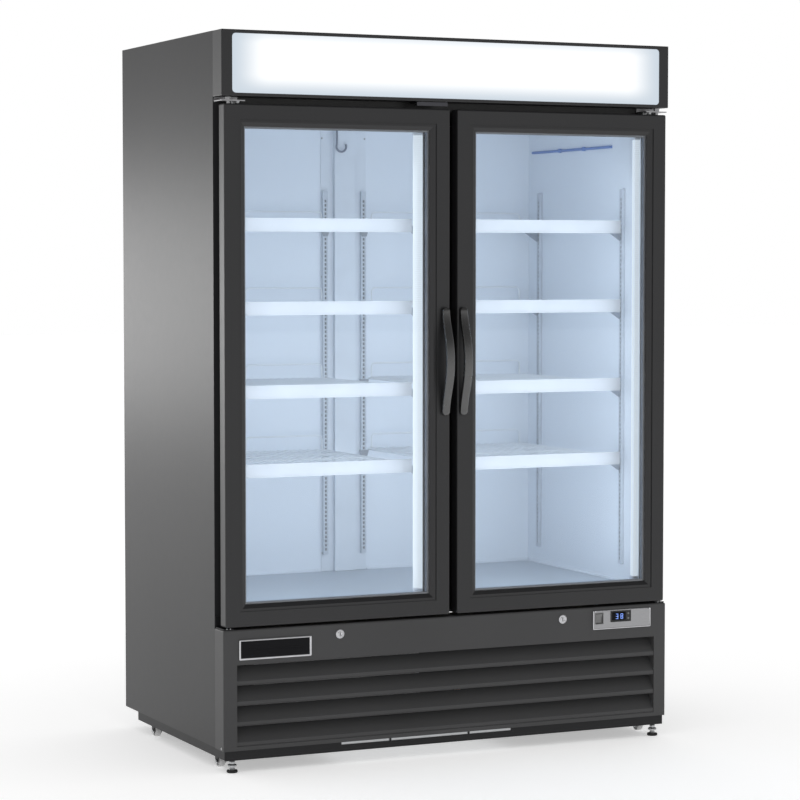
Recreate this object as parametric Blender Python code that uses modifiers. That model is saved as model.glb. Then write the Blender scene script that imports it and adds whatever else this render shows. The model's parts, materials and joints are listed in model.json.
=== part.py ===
"""Glass door merchandiser: an upright, two-door, self-contained refrigerated display cabinet.

Frame: metres, +Z up, X to the right seen from the front, Y from the doors to the back.
The origin is on the floor, under the middle of the bounding box.
Every place written as (x, y, z) counts y from the plane of the closed door fronts, and the
function at() moves it into the frame, so the depth values read as distances behind the doors.
"""

import math

import bmesh
import bpy
from mathutils import Matrix, Vector

# ---- driving dimensions -------------------------------------------------------------------
WIDTH = 1.372
HEIGHT = 1.992
DEPTH = 0.800
HANDLE_REACH = 0.044
GAP = 0.0003
CUT = 0.002

# Outer cabinet
SKIN = 0.0012
SIDE_BOTTOM = 0.062
CABINET_FACE = 0.066
SIDE_RETURN = 0.030
VENT_ROWS = 6
VENT_PITCH = 0.036
VENT_SIZE = (0.46, 0.010)

# Insulated compartment
WALL = 0.050
BACK_WALL = 0.042
FLOOR_UNDERSIDE = 0.392
FLOOR_TOP = 0.436
HEADER_LAP = 0.044
HEADER_THICKNESS = 0.044
ROOF_THICKNESS = 0.062
LINER = 0.0015

# Front modules
CANOPY_HEIGHT = 0.176
GRILLE_TOP = 0.388
GRILLE_BOTTOM = 0.0605
SHEET = 0.0015
CANOPY_ROUNDING = 0.002
GRILLE_ROUNDING = 0.004
SIGN_MARGIN_SIDE = 0.0305
SIGN_MARGIN_TOP = 0.0095
SIGN_MARGIN_BOTTOM = 0.0085
SIGN_CORNER = 0.010
SIGN_THICKNESS = 0.003
LAMP_RADIUS = 0.012
LAMP_CHANNEL = (0.020, 0.008)
LOUVRE_MARGIN_SIDE = 0.0385
LOUVRE_BOTTOM = 0.0715
LOUVRE_TOP = 0.2925
LOUVRE_DEPTH = 0.036
SLATS = 4
SLAT_LIP = 0.011
SLAT_SETBACK = 0.0005
SLAT_LAP = 0.007

# Doors
DOOR_EDGE = 0.007
DOOR_SPLIT = 0.0115
DOOR_BOTTOM = 0.395
DOOR_TO_CANOPY = 0.020
DOOR_THICKNESS = 0.042
DOOR_ROUNDING = 0.004
RIM_INSET = 0.020
RIM_DEPTH = 0.008
FACE_BAND = 0.041
BEVEL_BAND = 0.019
BAND_STEP = 0.0025
GLASS_SETBACK = 0.0085
GLASS_THICKNESS = 0.024
GLASS_BITE = 0.009
GASKET_INSET = 0.024
GASKET_WIDTH = 0.018

# Hinges
HINGE_X = 0.027
HINGE_Y = 0.021
HINGE_PIN_RADIUS = 0.005
HINGE_CLEARANCE = 0.0005
HINGE_PIN_LENGTH = 0.016
HINGE_HEAD_RADIUS = 0.008
HINGE_PLATE = 0.003
TOP_HINGE_WIDTH = 0.067
BOTTOM_HINGE_WIDTH = 0.029

# Handles
HANDLE_X = 0.0275
HANDLE_LOW = 0.950
HANDLE_HIGH = 1.250
HANDLE_WIDTH = 0.025
HANDLE_END = 0.013
HANDLE_BAR = 0.012
HANDLE_FOOT = 0.028
HANDLE_ROUNDING = 0.0025

# Locks
LOCK_X = 0.346
LOCK_Z = 0.360
LOCK_RADIUS = 0.010
LOCK_BARREL_RADIUS = 0.0085
LOCK_PROUD = 0.0025
LOCK_CAM_Y = 0.028
LOCK_CAM_THICKNESS = 0.003
LOCK_CAM_REACH = 0.050
LOCK_CAM_WIDTH = 0.014
LOCK_CLEARANCE = 0.002
KEY_SLOT = (0.002, 0.008)
KEY_SLOT_DEPTH = 0.012

# Controls
PLATE_LEFT = 0.444
PLATE_RIGHT = 0.634
PLATE_BOTTOM = 0.3235
PLATE_TOP = 0.378
PLATE_PROUD = 0.003
PLATE_LAP = 0.006
PLATE_TOP_LAP = 0.0022
PLATE_ROUNDING = 0.001
CONTROLLER_LEFT = 0.503
CONTROLLER_RIGHT = 0.567
CONTROLLER_BOTTOM = 0.3435
CONTROLLER_TOP = 0.374
CONTROLLER_DEPTH = 0.050
SWITCH_X = 0.4645
SWITCH_Z = 0.355
SWITCH_WIDTH = 0.020
SWITCH_HEIGHT = 0.027
SWITCH_BEVEL = math.radians(9)
SWITCH_CLEARANCE = 0.0008
SWITCH_BACK = (0.014, 0.005)

# Shelving
LOWEST_SHELF_TOP = 0.822
CLIP_PITCH = 0.0127
SHELF_STEPS = (0, 17, 35, 53)
SHELF_INNER = 0.0718
SHELF_WALL_CLEARANCE = 0.026
SHELF_FRONT = 0.120
SHELF_BACK = 0.738
STRIP_HEIGHT = 0.037
STRIP_THICKNESS = 0.003
DECK_DROP = 0.010
DECK_THICKNESS = 0.006
DECK_SLOTS = 18
DECK_BAR = 0.007
DECK_BORDER = 0.014
FENCE_HEIGHT = 0.048
FENCE_BAR = 0.006
FENCE_BAYS = 4
STANDARD_WIDTH = 0.016
STANDARD_DEPTH = 0.010
STANDARD_BOTTOM = 0.488
STANDARD_TO_HEADER = 0.164
FRONT_STANDARD_Y = 0.165
REAR_STANDARD_Y = 0.678
DUCT_HALF_WIDTH = 0.033
DUCT_DEPTH = 0.013
DUCT_FLANGE = 0.0745
DUCT_STANDARD_X = 0.063
BRACKET_HEIGHT = 0.012
BRACKET_WIDTH = 0.010

# Mullion and interior lights
MULLION_FACE = 0.060
MULLION_POST = 0.046
MULLION_PLATE = 0.008
MULLION_BACK = 0.136
MULLION_RIB = 0.011
MULLION_RIB_Y = (0.117, 0.133)
LIGHT_INSET = 0.024
WALL_LIGHT_Y = (0.074, 0.104)
WALL_LIGHT_DEPTH = 0.015

# Chassis
PAN_THICKNESS = 0.002
APRON_SETBACK = 0.006
APRON_BOTTOM = 0.034
RAIL_BOTTOM = 0.036
RAIL_INNER = 0.046
RAIL_OUTER = 0.005
RAIL_FRONT = 0.0085
RAIL_BACK_CLEARANCE = 0.095
RAIL_SHEET = 0.002
SLOT_LEFT = -0.341
SLOT_RIGHT = 0.188
SLOT_TABS = (-0.190, 0.052)
SLOT_TAB_WIDTH = 0.005
SLOT_BOTTOM = 0.0525
TRAY_DEPTH = 0.300
TRAY_BOTTOM = 0.044
TRAY_SHEET = 0.001

# Feet and casters
FOOT_X = 0.031
FOOT_Y = 0.020
FOOT_STEM_RADIUS = 0.0055
FOOT_STEM_ABOVE_PAN = 0.021
FOOT_PAD_RADIUS = 0.015
FOOT_PAD_HEIGHT = 0.013
FOOT_PAD_RIM = 0.0075
FOOT_NUT_RADIUS = 0.012
FOOT_NUT = (0.017, 0.021)
FOOT_NUT_TOP = (0.0075, 0.025)
FOOT_HOLE_CLEARANCE = 0.00125
CASTER_X = 0.030
CASTER_FRONT_Y = 0.105
CASTER_BACK_CLEARANCE = 0.185
WHEEL_RADIUS = 0.018
WHEEL_WIDTH = 0.016
WHEEL_LIFT = 0.001
AXLE_RADIUS = 0.003
FORK_SHEET = 0.002
FORK_HALF_LENGTH = 0.010
FORK_CLEARANCE = 0.0015

# Refrigeration
CONDENSER_LEFT = -0.560
CONDENSER_RIGHT = -0.060
CONDENSER_Y = (0.095, 0.155)
CONDENSER_TOP = 0.330
CONDENSER_HUB_RADIUS = 0.028
COIL_BENDS = 5
COIL_TUBE = 0.010
FAN_TO_COIL = 0.0025
MOTOR_RADIUS = 0.038
MOTOR_LENGTH = 0.060
ARM_HALF = 0.006
FAN_RADIUS = 0.110
FAN_BLADES = 5
FAN_TIP_CLEARANCE = 0.008
FAN_SHAFT_RADIUS = 0.004
FAN_HUB_LENGTH = 0.020
FAN_LEAN = math.radians(28)
FAN_BLADE_WIDTH = 0.55
FAN_BLADE_THICKNESS = 0.0025
COMPRESSOR_X = 0.330
COMPRESSOR_Y = 0.480
COMPRESSOR_RADIUS = 0.095
COMPRESSOR_HEIGHT = 0.205
COMPRESSOR_DOME = 0.035
COMPRESSOR_ARC = 5
COMPRESSOR_SEAM = 0.006
COMPRESSOR_PLATE = 0.004
COMPRESSOR_PLATE_MARGIN = 0.022
EVAPORATOR_SETBACK = 0.026
EVAPORATOR_FAN_RADIUS = 0.100
EVAPORATOR_FAN_LIFT = 0.028
EVAPORATOR_HUB_RADIUS = 0.024
EVAPORATOR_BRIDGE_LIFT = 0.040
BRIDGE_HALF = 0.008
EVAPORATOR_MOTOR_RADIUS = 0.030
EVAPORATOR_MOTOR_LENGTH = 0.028
EVAPORATOR_COIL = (0.20, 0.56)
EVAPORATOR_COIL_DROP = 0.020
EVAPORATOR_SLOTS = 6

# ---- sizes that follow from the ones above ------------------------------------------------
FRONT_Y = -(DEPTH - HANDLE_REACH) / 2
HALF = WIDTH / 2
SKIN_INSIDE = HALF - SKIN
INNER_HALF = HALF - WALL
INNER_BACK = DEPTH - BACK_WALL
CANOPY_BOTTOM = HEIGHT - CANOPY_HEIGHT
DOOR_TOP = CANOPY_BOTTOM - DOOR_TO_CANOPY
HEADER_BOTTOM = DOOR_TOP - HEADER_LAP
CEILING_TOP = HEIGHT - ROOF_THICKNESS
EVAPORATOR_BOTTOM = HEADER_BOTTOM + EVAPORATOR_SETBACK
LIGHT_BOTTOM = FLOOR_TOP + LIGHT_INSET
LIGHT_TOP = HEADER_BOTTOM - LIGHT_INSET
STANDARD_TOP = HEADER_BOTTOM - STANDARD_TO_HEADER
SHELF_OUTER = INNER_HALF - STANDARD_DEPTH - SHELF_WALL_CLEARANCE
HINGE_AXIS_X = HALF - HINGE_X
DOOR_OUTER = HALF - DOOR_EDGE
PAN_BOTTOM = SIDE_BOTTOM
PAN_TOP = PAN_BOTTOM + PAN_THICKNESS
RAIL_TOP = PAN_BOTTOM - GAP
RAIL_BACK = DEPTH - RAIL_BACK_CLEARANCE
CASTER_BACK_Y = DEPTH - CASTER_BACK_CLEARANCE
FOOT_AXIS_X = HALF - FOOT_X
CASTER_AXIS_X = HALF - CASTER_X
FAN_STAND_OFF = FAN_BLADE_WIDTH * FAN_RADIUS / 2 * math.sin(FAN_LEAN) + FAN_TO_COIL
SHROUD_DEPTH = 2 * FAN_STAND_OFF

# ---- colours and finishes -----------------------------------------------------------------
CABINET_BLACK = (0.060, 0.060, 0.064, 1)
DOOR_BLACK = (0.045, 0.045, 0.048, 1)
SOFT_BLACK = (0.012, 0.012, 0.013, 1)
LINER_WHITE = (0.76, 0.82, 0.90, 1)
LIGHT_WHITE = (0.95, 0.97, 1.0, 1)
ZINC = (0.62, 0.63, 0.64, 1)
STEEL = (0.55, 0.56, 0.57, 1)
FOAM = (0.80, 0.72, 0.52, 1)
GLASS = (0.90, 0.95, 0.97, 1)


def clear_scene():
    for existing in list(bpy.data.objects):
        bpy.data.objects.remove(existing, do_unlink=True)


def new_collection(name):
    collection = bpy.data.collections.new(name)
    bpy.context.scene.collection.children.link(collection)
    return collection


clear_scene()
PARTS = new_collection("glass_door_merchandiser")
CUTTERS = new_collection("cutters")


def at(x, y, z):
    """A place given by its distance behind the door fronts, in the part's frame."""
    return Vector((x, FRONT_Y + y, z))


def material(name, colour, roughness, metallic=0.0):
    """A Principled material of one colour and finish, made once for each name."""
    found = bpy.data.materials.get(name)
    if found:
        return found
    made = bpy.data.materials.new(name)
    made.use_nodes = True
    surface = made.node_tree.nodes["Principled BSDF"]
    surface.inputs["Base Color"].default_value = colour
    surface.inputs["Roughness"].default_value = roughness
    surface.inputs["Metallic"].default_value = metallic
    return made


def finish(obj, name, colour, roughness, metallic=0.0):
    """Names the object as a sub-part, gives it its own material and puts it with the parts."""
    obj.name = name
    obj.data.name = name
    obj.data.materials.clear()
    obj.data.materials.append(material(name, colour, roughness, metallic))
    PARTS.objects.link(obj)
    return obj


def as_cutter(obj, target):
    """Keeps a shape that only cuts or joins out of the render, and moves it with its target."""
    CUTTERS.objects.link(obj)
    obj.name = "for_" + target.name
    obj.hide_render = True
    obj.display_type = "WIRE"
    obj.location = obj.location - target.location
    obj.parent = target
    return obj


def mesh_object(mesh, location):
    made = bpy.data.objects.new("shape", mesh)
    made.location = location
    return made


def box(low, high):
    """A box between two corners, its origin at its middle."""
    low = at(*low)
    high = at(*high)
    mesh = bpy.data.meshes.new("box")
    shape = bmesh.new()
    size = Matrix.Diagonal(high - low).to_4x4()
    bmesh.ops.create_cube(shape, size=1.0, matrix=size)
    shape.to_mesh(mesh)
    shape.free()
    return mesh_object(mesh, (low + high) / 2)


def mirrored_box(side, low, high):
    """A box given for the right-hand side (x counted outward), placed on either side."""
    xs = sorted((side * low[0], side * high[0]))
    return box((xs[0], low[1], low[2]), (xs[1], high[1], high[2]))


def rod(centre, radius, length, axis="Z", sides=24, far_radius=None):
    """A cylinder, or a cone when far_radius is given, along a main axis."""
    mesh = bpy.data.meshes.new("rod")
    shape = bmesh.new()
    end = radius if far_radius is None else far_radius
    turn = {"X": Matrix.Rotation(math.pi / 2, 4, "Y"), "Y": Matrix.Rotation(-math.pi / 2, 4, "X")}
    bmesh.ops.create_cone(
        shape,
        cap_ends=True,
        segments=sides,
        radius1=radius,
        radius2=end,
        depth=length,
        matrix=turn.get(axis, Matrix.Identity(4)),
    )
    shape.to_mesh(mesh)
    shape.free()
    mesh.shade_smooth()
    mesh.set_sharp_from_angle(angle=math.radians(40))
    return mesh_object(mesh, at(*centre))


def evaluated_mesh(obj):
    """The mesh of an object with its modifiers applied, its loose caps welded."""
    bpy.context.view_layer.update()
    graph = bpy.context.evaluated_depsgraph_get()
    mesh = bpy.data.meshes.new_from_object(obj.evaluated_get(graph))
    shape = bmesh.new()
    shape.from_mesh(mesh)
    bmesh.ops.remove_doubles(shape, verts=shape.verts, dist=0.00001)
    shape.to_mesh(mesh)
    shape.free()
    return mesh


def plate(outline, thickness, centre, plane="XY"):
    """A flat outline given thickness. The outline's points are (first, second) axes of its plane.

    In plane XY the points are (x, depth behind the doors) and the thickness runs along Z.
    In XZ they are (x, z) and it runs along Y. In YZ they are (depth, z) and it runs along X.
    centre is the middle of the thickness.
    """
    curve = bpy.data.curves.new("outline", "CURVE")
    curve.dimensions = "2D"
    curve.fill_mode = "BOTH"
    curve.extrude = thickness / 2
    spline = curve.splines.new("POLY")
    spline.points.add(len(outline) - 1)
    for point, (first, second) in zip(spline.points, outline):
        point.co = (first, second, 0, 1)
    spline.use_cyclic_u = True
    drawn = bpy.data.objects.new("outline", curve)
    bpy.context.scene.collection.objects.link(drawn)
    mesh = evaluated_mesh(drawn)
    bpy.data.objects.remove(drawn)
    turns = {
        "XY": Matrix.Identity(4),
        "XZ": Matrix.Rotation(math.pi / 2, 4, "X"),
        "YZ": Matrix.Rotation(math.pi / 2, 4, "Z") @ Matrix.Rotation(math.pi / 2, 4, "X"),
    }
    mesh.transform(turns[plane])
    places = {
        "XY": Vector((0, FRONT_Y, centre)),
        "XZ": Vector((0, FRONT_Y + centre, 0)),
        "YZ": Vector((centre, FRONT_Y, 0)),
    }
    shape = bmesh.new()
    shape.from_mesh(mesh)
    bmesh.ops.recalc_face_normals(shape, faces=shape.faces)
    shape.to_mesh(mesh)
    shape.free()
    return mesh_object(mesh, places[plane])


def both_sides(points):
    """An outline from its right-hand half, drawn from one middle point round to the other."""
    left = [(-first, second) for first, second in reversed(points)]
    return points + left


def rounded_rectangle(low, high, radius, steps=5):
    """The outline of a rectangle whose corners are arcs, each with the given number of steps."""
    corners = [
        (high[0] - radius, high[1] - radius, 0),
        (low[0] + radius, high[1] - radius, 90),
        (low[0] + radius, low[1] + radius, 180),
        (high[0] - radius, low[1] + radius, 270),
    ]
    points = []
    for x, z, start in corners:
        for step in range(steps + 1):
            angle = math.radians(start + 90 * step / steps)
            points.append((x + radius * math.cos(angle), z + radius * math.sin(angle)))
    return points


def turned(profile, centre, steps=28):
    """A body of revolution about Z, from (radius, height) points that run from top to bottom."""
    mesh = bpy.data.meshes.new("turned")
    edges = [(index, index + 1) for index in range(len(profile) - 1)]
    mesh.from_pydata([(radius, 0, height) for radius, height in profile], edges, [])
    made = mesh_object(mesh, at(*centre))
    spin = made.modifiers.new("spin", "SCREW")
    spin.steps = steps
    spin.render_steps = steps
    spin.use_merge_vertices = True
    spin.merge_threshold = 0.00005
    return made


def boolean(target, other, operation):
    step = target.modifiers.new(operation.lower(), "BOOLEAN")
    step.operation = operation
    step.solver = "EXACT"
    step.object = as_cutter(other, target)
    return target


def cut(target, *others):
    """Takes the other shapes away from the target."""
    for other in others:
        boolean(target, other, "DIFFERENCE")
    return target


def join(target, *others):
    """Makes the target and the other shapes one solid."""
    for other in others:
        boolean(target, other, "UNION")
    return target


def soften(target, width, segments=2):
    """Rounds the sharp edges of a shape."""
    rounding = target.modifiers.new("rounding", "BEVEL")
    rounding.width = width
    rounding.segments = segments
    rounding.limit_method = "ANGLE"
    return target


def pivot(name, place):
    """An empty on the axis of a joint, which carries what turns or slides there."""
    empty = bpy.data.objects.new(name, None)
    empty.empty_display_size = 0.05
    empty.location = place
    PARTS.objects.link(empty)
    return empty


def hang(empty, *carried):
    for obj in carried:
        obj.location = obj.location - empty.location
        obj.parent = empty


SIDES = (("left", -1), ("right", 1))


# ---- outer cabinet ------------------------------------------------------------------------
def side_panels():
    """Folded sheet: the outer wall, a front return behind the door and a short rear return."""
    rear_return = SIDE_RETURN / 2
    for name, side in SIDES:
        outline = [
            (HALF, CABINET_FACE),
            (HALF, DEPTH),
            (HALF - rear_return, DEPTH),
            (HALF - rear_return, DEPTH - SKIN),
            (SKIN_INSIDE, DEPTH - SKIN),
            (SKIN_INSIDE, CABINET_FACE + SKIN),
            (HALF - SIDE_RETURN, CABINET_FACE + SKIN),
            (HALF - SIDE_RETURN, CABINET_FACE),
        ]
        outline = [(side * x, y) for x, y in outline]
        tall = HEIGHT - SIDE_BOTTOM
        panel = plate(outline, tall, SIDE_BOTTOM + tall / 2)
        finish(panel, name + "_side_panel", CABINET_BLACK, 0.45)


REAR_PANEL_BACK = DEPTH - SKIN - GAP


def rear_panel():
    """The back sheet, with rows of vent slots behind the machine compartment."""
    width = SKIN_INSIDE - GAP
    sheet = box(
        (-width, REAR_PANEL_BACK - SKIN, PAN_TOP + GAP),
        (width, REAR_PANEL_BACK, HEIGHT - SKIN - GAP),
    )
    length, tall = VENT_SIZE
    for column in (-1, 1):
        for row in range(VENT_ROWS):
            middle = column * (length / 2 + VENT_PITCH)
            bottom = PAN_TOP + VENT_PITCH * (row + 1)
            slot = box(
                (middle - length / 2, REAR_PANEL_BACK - SKIN - CUT, bottom),
                (middle + length / 2, REAR_PANEL_BACK + CUT, bottom + tall),
            )
            cut(sheet, slot)
    finish(sheet, "rear_panel", CABINET_BLACK, 0.5)


def roof_panel():
    width = SKIN_INSIDE - GAP
    front = CABINET_FACE + SKIN + GAP
    sheet = box((-width, front, HEIGHT - SKIN), (width, REAR_PANEL_BACK, HEIGHT))
    finish(sheet, "roof_panel", CABINET_BLACK, 0.5)


def cabinet_insulation():
    """Foam between the outer sheets and the liner: walls, floor, roof, back and front header."""
    width = SKIN_INSIDE - GAP
    front = CABINET_FACE + SKIN + GAP
    foam = box(
        (-width, front, FLOOR_UNDERSIDE),
        (width, REAR_PANEL_BACK - SKIN - GAP, HEIGHT - SKIN - GAP),
    )
    clear = LINER + GAP
    half = INNER_HALF + clear
    back = INNER_BACK + clear
    lower = box((-half, -CUT, FLOOR_TOP - clear), (half, back, HEADER_BOTTOM + clear))
    upper = box(
        (-half, CABINET_FACE + HEADER_THICKNESS - clear, FLOOR_TOP),
        (half, back, CEILING_TOP + clear),
    )
    cut(foam, lower, upper)
    finish(foam, "cabinet_insulation", FOAM, 0.9)


def interior_liner():
    """The white inner box, open at the front, with a flange that makes the face of the cabinet."""
    half = INNER_HALF + LINER
    back = INNER_BACK + LINER
    header_back = CABINET_FACE + HEADER_THICKNESS
    shell = box((-half, CABINET_FACE, FLOOR_TOP - LINER), (half, back, CEILING_TOP + LINER))
    above_header = box(
        (-half - CUT, CABINET_FACE - CUT, HEADER_BOTTOM + LINER),
        (half + CUT, header_back - LINER, CEILING_TOP + 2 * LINER),
    )
    lower = box((-INNER_HALF, -CUT, FLOOR_TOP), (INNER_HALF, INNER_BACK, HEADER_BOTTOM))
    upper = box(
        (-INNER_HALF, header_back, FLOOR_TOP + CUT),
        (INNER_HALF, INNER_BACK, CEILING_TOP),
    )
    flange_half = HALF - SIDE_RETURN - GAP
    flange = box(
        (-flange_half, CABINET_FACE, FLOOR_UNDERSIDE),
        (flange_half, CABINET_FACE + SKIN, CANOPY_BOTTOM + SIDE_RETURN),
    )
    cut(shell, above_header)
    join(shell, flange)
    cut(shell, lower, upper)
    finish(shell, "interior_liner", LINER_WHITE, 0.4)


def door_mullion():
    """The post between the doors: a face plate that the gaskets meet and a web with shelf ribs."""
    plate_back = CABINET_FACE + MULLION_PLATE
    rib_front, rib_back = MULLION_RIB_Y
    rib = MULLION_POST + MULLION_RIB
    right_half = [
        (MULLION_FACE, CABINET_FACE),
        (MULLION_FACE, plate_back),
        (MULLION_POST, plate_back),
        (MULLION_POST, rib_front),
        (rib, rib_front),
        (rib, rib_back),
        (MULLION_POST, rib_back),
        (MULLION_POST, MULLION_BACK),
    ]
    tall = HEADER_BOTTOM - FLOOR_TOP - 2 * GAP
    post = plate(both_sides(right_half), tall, FLOOR_TOP + GAP + tall / 2)
    finish(post, "door_mullion", LINER_WHITE, 0.4)


def interior_lights():
    """Upright light strips: one on each side wall and one on each flank of the mullion."""
    tall = LIGHT_TOP - LIGHT_BOTTOM
    middle = LIGHT_BOTTOM + tall / 2
    front, back = WALL_LIGHT_Y
    wall = INNER_HALF - GAP
    post = MULLION_POST + GAP
    lens_front = CABINET_FACE + MULLION_PLATE + GAP
    for name, side in SIDES:
        on_wall = [
            (wall, front),
            (wall, back),
            (wall - WALL_LIGHT_DEPTH / 2, back),
            (wall - WALL_LIGHT_DEPTH, front + (back - front) / 3),
            (wall - WALL_LIGHT_DEPTH, front),
        ]
        on_post = [
            (post, lens_front),
            (MULLION_FACE - CUT, lens_front),
            (MULLION_FACE + WALL_LIGHT_DEPTH, back - CUT),
            (MULLION_FACE + WALL_LIGHT_DEPTH, back + CUT),
            (post, back + CUT),
        ]
        for place, outline in (("wall", on_wall), ("mullion", on_post)):
            outline = [(side * x, y) for x, y in outline]
            strip = plate(outline, tall, middle)
            finish(strip, name + "_" + place + "_light", LIGHT_WHITE, 0.3)


# ---- canopy -------------------------------------------------------------------------------
def front_wrap(low, high, rounding):
    """A box across the whole front, rounded on its front edges and cut off square at the back."""
    back = CABINET_FACE - GAP
    spare = 3 * rounding
    wrap = soften(box((-HALF, 0, low), (HALF, back + spare, high)), rounding)
    rear = box((-HALF - CUT, back, low - CUT), (HALF + CUT, back + 2 * spare, high + CUT))
    return cut(wrap, rear)


def canopy():
    """The light box over the doors: a folded housing, its sign panel and the lamp behind it."""
    back = CABINET_FACE - GAP
    housing = front_wrap(CANOPY_BOTTOM, HEIGHT, CANOPY_ROUNDING)
    hollow = box(
        (-HALF + SHEET, SHEET, CANOPY_BOTTOM + SHEET),
        (HALF - SHEET, back + CUT, HEIGHT - SHEET),
    )
    low = (-HALF + SIGN_MARGIN_SIDE, CANOPY_BOTTOM + SIGN_MARGIN_BOTTOM)
    high = (HALF - SIGN_MARGIN_SIDE, HEIGHT - SIGN_MARGIN_TOP)
    window = plate(rounded_rectangle(low, high, SIGN_CORNER), 4 * CUT, 0, plane="XZ")
    cut(housing, hollow, window)
    finish(housing, "canopy_housing", CABINET_BLACK, 0.35)

    lap = SIGN_MARGIN_BOTTOM - 2 * SHEET
    sign_front = SHEET + GAP
    sign = box(
        (low[0] - lap, sign_front, low[1] - lap),
        (high[0] + lap, sign_front + SIGN_THICKNESS, high[1] + lap),
    )
    finish(sign, "sign_panel", LIGHT_WHITE, 0.3)

    lamp_middle = (low[1] + high[1]) / 2
    lamp_depth = back - SIGN_THICKNESS * 2
    half_channel, channel_depth = LAMP_CHANNEL
    reach = high[0] - half_channel
    place = (0, lamp_depth - LAMP_RADIUS, lamp_middle)
    lamp = rod(place, LAMP_RADIUS, 2 * reach + CUT, axis="X", sides=16)
    channel = box(
        (-reach, lamp_depth - channel_depth, lamp_middle - half_channel),
        (reach, lamp_depth, lamp_middle + half_channel),
    )
    join(channel, lamp)
    finish(channel, "sign_lamp", LIGHT_WHITE, 0.3)


# ---- lower front panel --------------------------------------------------------------------
def slat(bottom, half_length):
    """One louvre blade: a short upright lip, then a blade that leans back and up."""
    pitch = (LOUVRE_TOP - LOUVRE_BOTTOM) / SLATS
    front = SHEET + SLAT_SETBACK
    lip_top = bottom + SLAT_LIP
    top = bottom + pitch - SLAT_LAP
    deep = LOUVRE_DEPTH - 2 * SHEET
    outline = [
        (front, bottom),
        (front + SHEET, bottom),
        (front + SHEET, lip_top - SHEET / 2),
        (deep, top - SHEET),
        (deep, top),
        (front, lip_top),
    ]
    return plate(outline, 2 * half_length, 0, plane="YZ")


def lock_sweep(x, clearance):
    """The arc-shaped room that a lock's cam needs as it turns up into the door."""
    reach = LOCK_CAM_REACH + clearance
    half = LOCK_CAM_WIDTH / 2 + clearance
    low = GRILLE_TOP - 2 * SHEET
    across = math.sqrt(reach**2 - (low - LOCK_Z) ** 2)
    middle = LOCK_CAM_Y + LOCK_CAM_THICKNESS / 2
    deep = LOCK_CAM_THICKNESS / 2 + clearance
    return box((x - half, middle - deep, low), (x + across, middle + deep, LOCK_Z + reach))


def grille_panel():
    """The folded lower front: flat upper band, louvred intake and side wraps."""
    spare = 3 * GRILLE_ROUNDING
    panel = front_wrap(GRILLE_BOTTOM - spare, GRILLE_TOP, GRILLE_ROUNDING)
    below = box(
        (-HALF - CUT, -CUT, GRILLE_BOTTOM - 2 * spare),
        (HALF + CUT, CABINET_FACE, GRILLE_BOTTOM),
    )
    hollow = box(
        (-HALF + SHEET, SHEET, GRILLE_BOTTOM - 2 * spare),
        (HALF - SHEET, CABINET_FACE + CUT, GRILLE_TOP - SHEET),
    )
    soften(hollow, GRILLE_ROUNDING - SHEET)
    half = HALF - LOUVRE_MARGIN_SIDE
    opening = box((-half, -CUT, LOUVRE_BOTTOM), (half, 2 * CUT, LOUVRE_TOP))
    cut(panel, below, hollow, opening)
    for _, side in SIDES:
        cheek = mirrored_box(
            side,
            (half, SHEET / 2, LOUVRE_BOTTOM - SHEET),
            (half + SHEET, LOUVRE_DEPTH, LOUVRE_TOP + SHEET),
        )
        join(panel, cheek)
    pitch = (LOUVRE_TOP - LOUVRE_BOTTOM) / SLATS
    for index in range(SLATS):
        bottom = LOUVRE_BOTTOM + index * pitch + SLAT_SETBACK
        join(panel, slat(bottom, half + SHEET / 2))
    for _, side in SIDES:
        x = side * LOCK_X
        hole = rod((x, SHEET / 2, LOCK_Z), LOCK_BARREL_RADIUS + HINGE_CLEARANCE, 4 * CUT, "Y")
        cut(panel, hole, lock_sweep(x, LOCK_CLEARANCE))
    window = box(
        (PLATE_LEFT + PLATE_LAP, -CUT, PLATE_BOTTOM + PLATE_LAP),
        (PLATE_RIGHT - PLATE_LAP, 2 * CUT, PLATE_TOP - PLATE_TOP_LAP),
    )
    cut(panel, window)
    finish(panel, "grille_panel", CABINET_BLACK, 0.4)


def controls():
    """The bright cover with the temperature controller and the lamp switch set into it."""
    cover = box((PLATE_LEFT, -PLATE_PROUD, PLATE_BOTTOM), (PLATE_RIGHT, -GAP, PLATE_TOP))
    soften(cover, PLATE_ROUNDING, 1)
    fit = 2 * GAP
    module_hole = box(
        (CONTROLLER_LEFT - fit, -2 * PLATE_PROUD, CONTROLLER_BOTTOM - fit),
        (CONTROLLER_RIGHT + fit, CUT, CONTROLLER_TOP + fit),
    )
    across = SWITCH_WIDTH / 2 + SWITCH_CLEARANCE
    tall = SWITCH_HEIGHT / 2 + SWITCH_CLEARANCE
    switch_hole = box(
        (SWITCH_X - across, -2 * PLATE_PROUD, SWITCH_Z - tall),
        (SWITCH_X + across, CUT, SWITCH_Z + tall),
    )
    cut(cover, module_hole, switch_hole)
    finish(cover, "control_plate", STEEL, 0.3, 1.0)

    module = box(
        (CONTROLLER_LEFT, -PLATE_PROUD - SHEET, CONTROLLER_BOTTOM),
        (CONTROLLER_RIGHT, CONTROLLER_DEPTH, CONTROLLER_TOP),
    )
    finish(module, "temperature_controller", SOFT_BLACK, 0.3)


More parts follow.
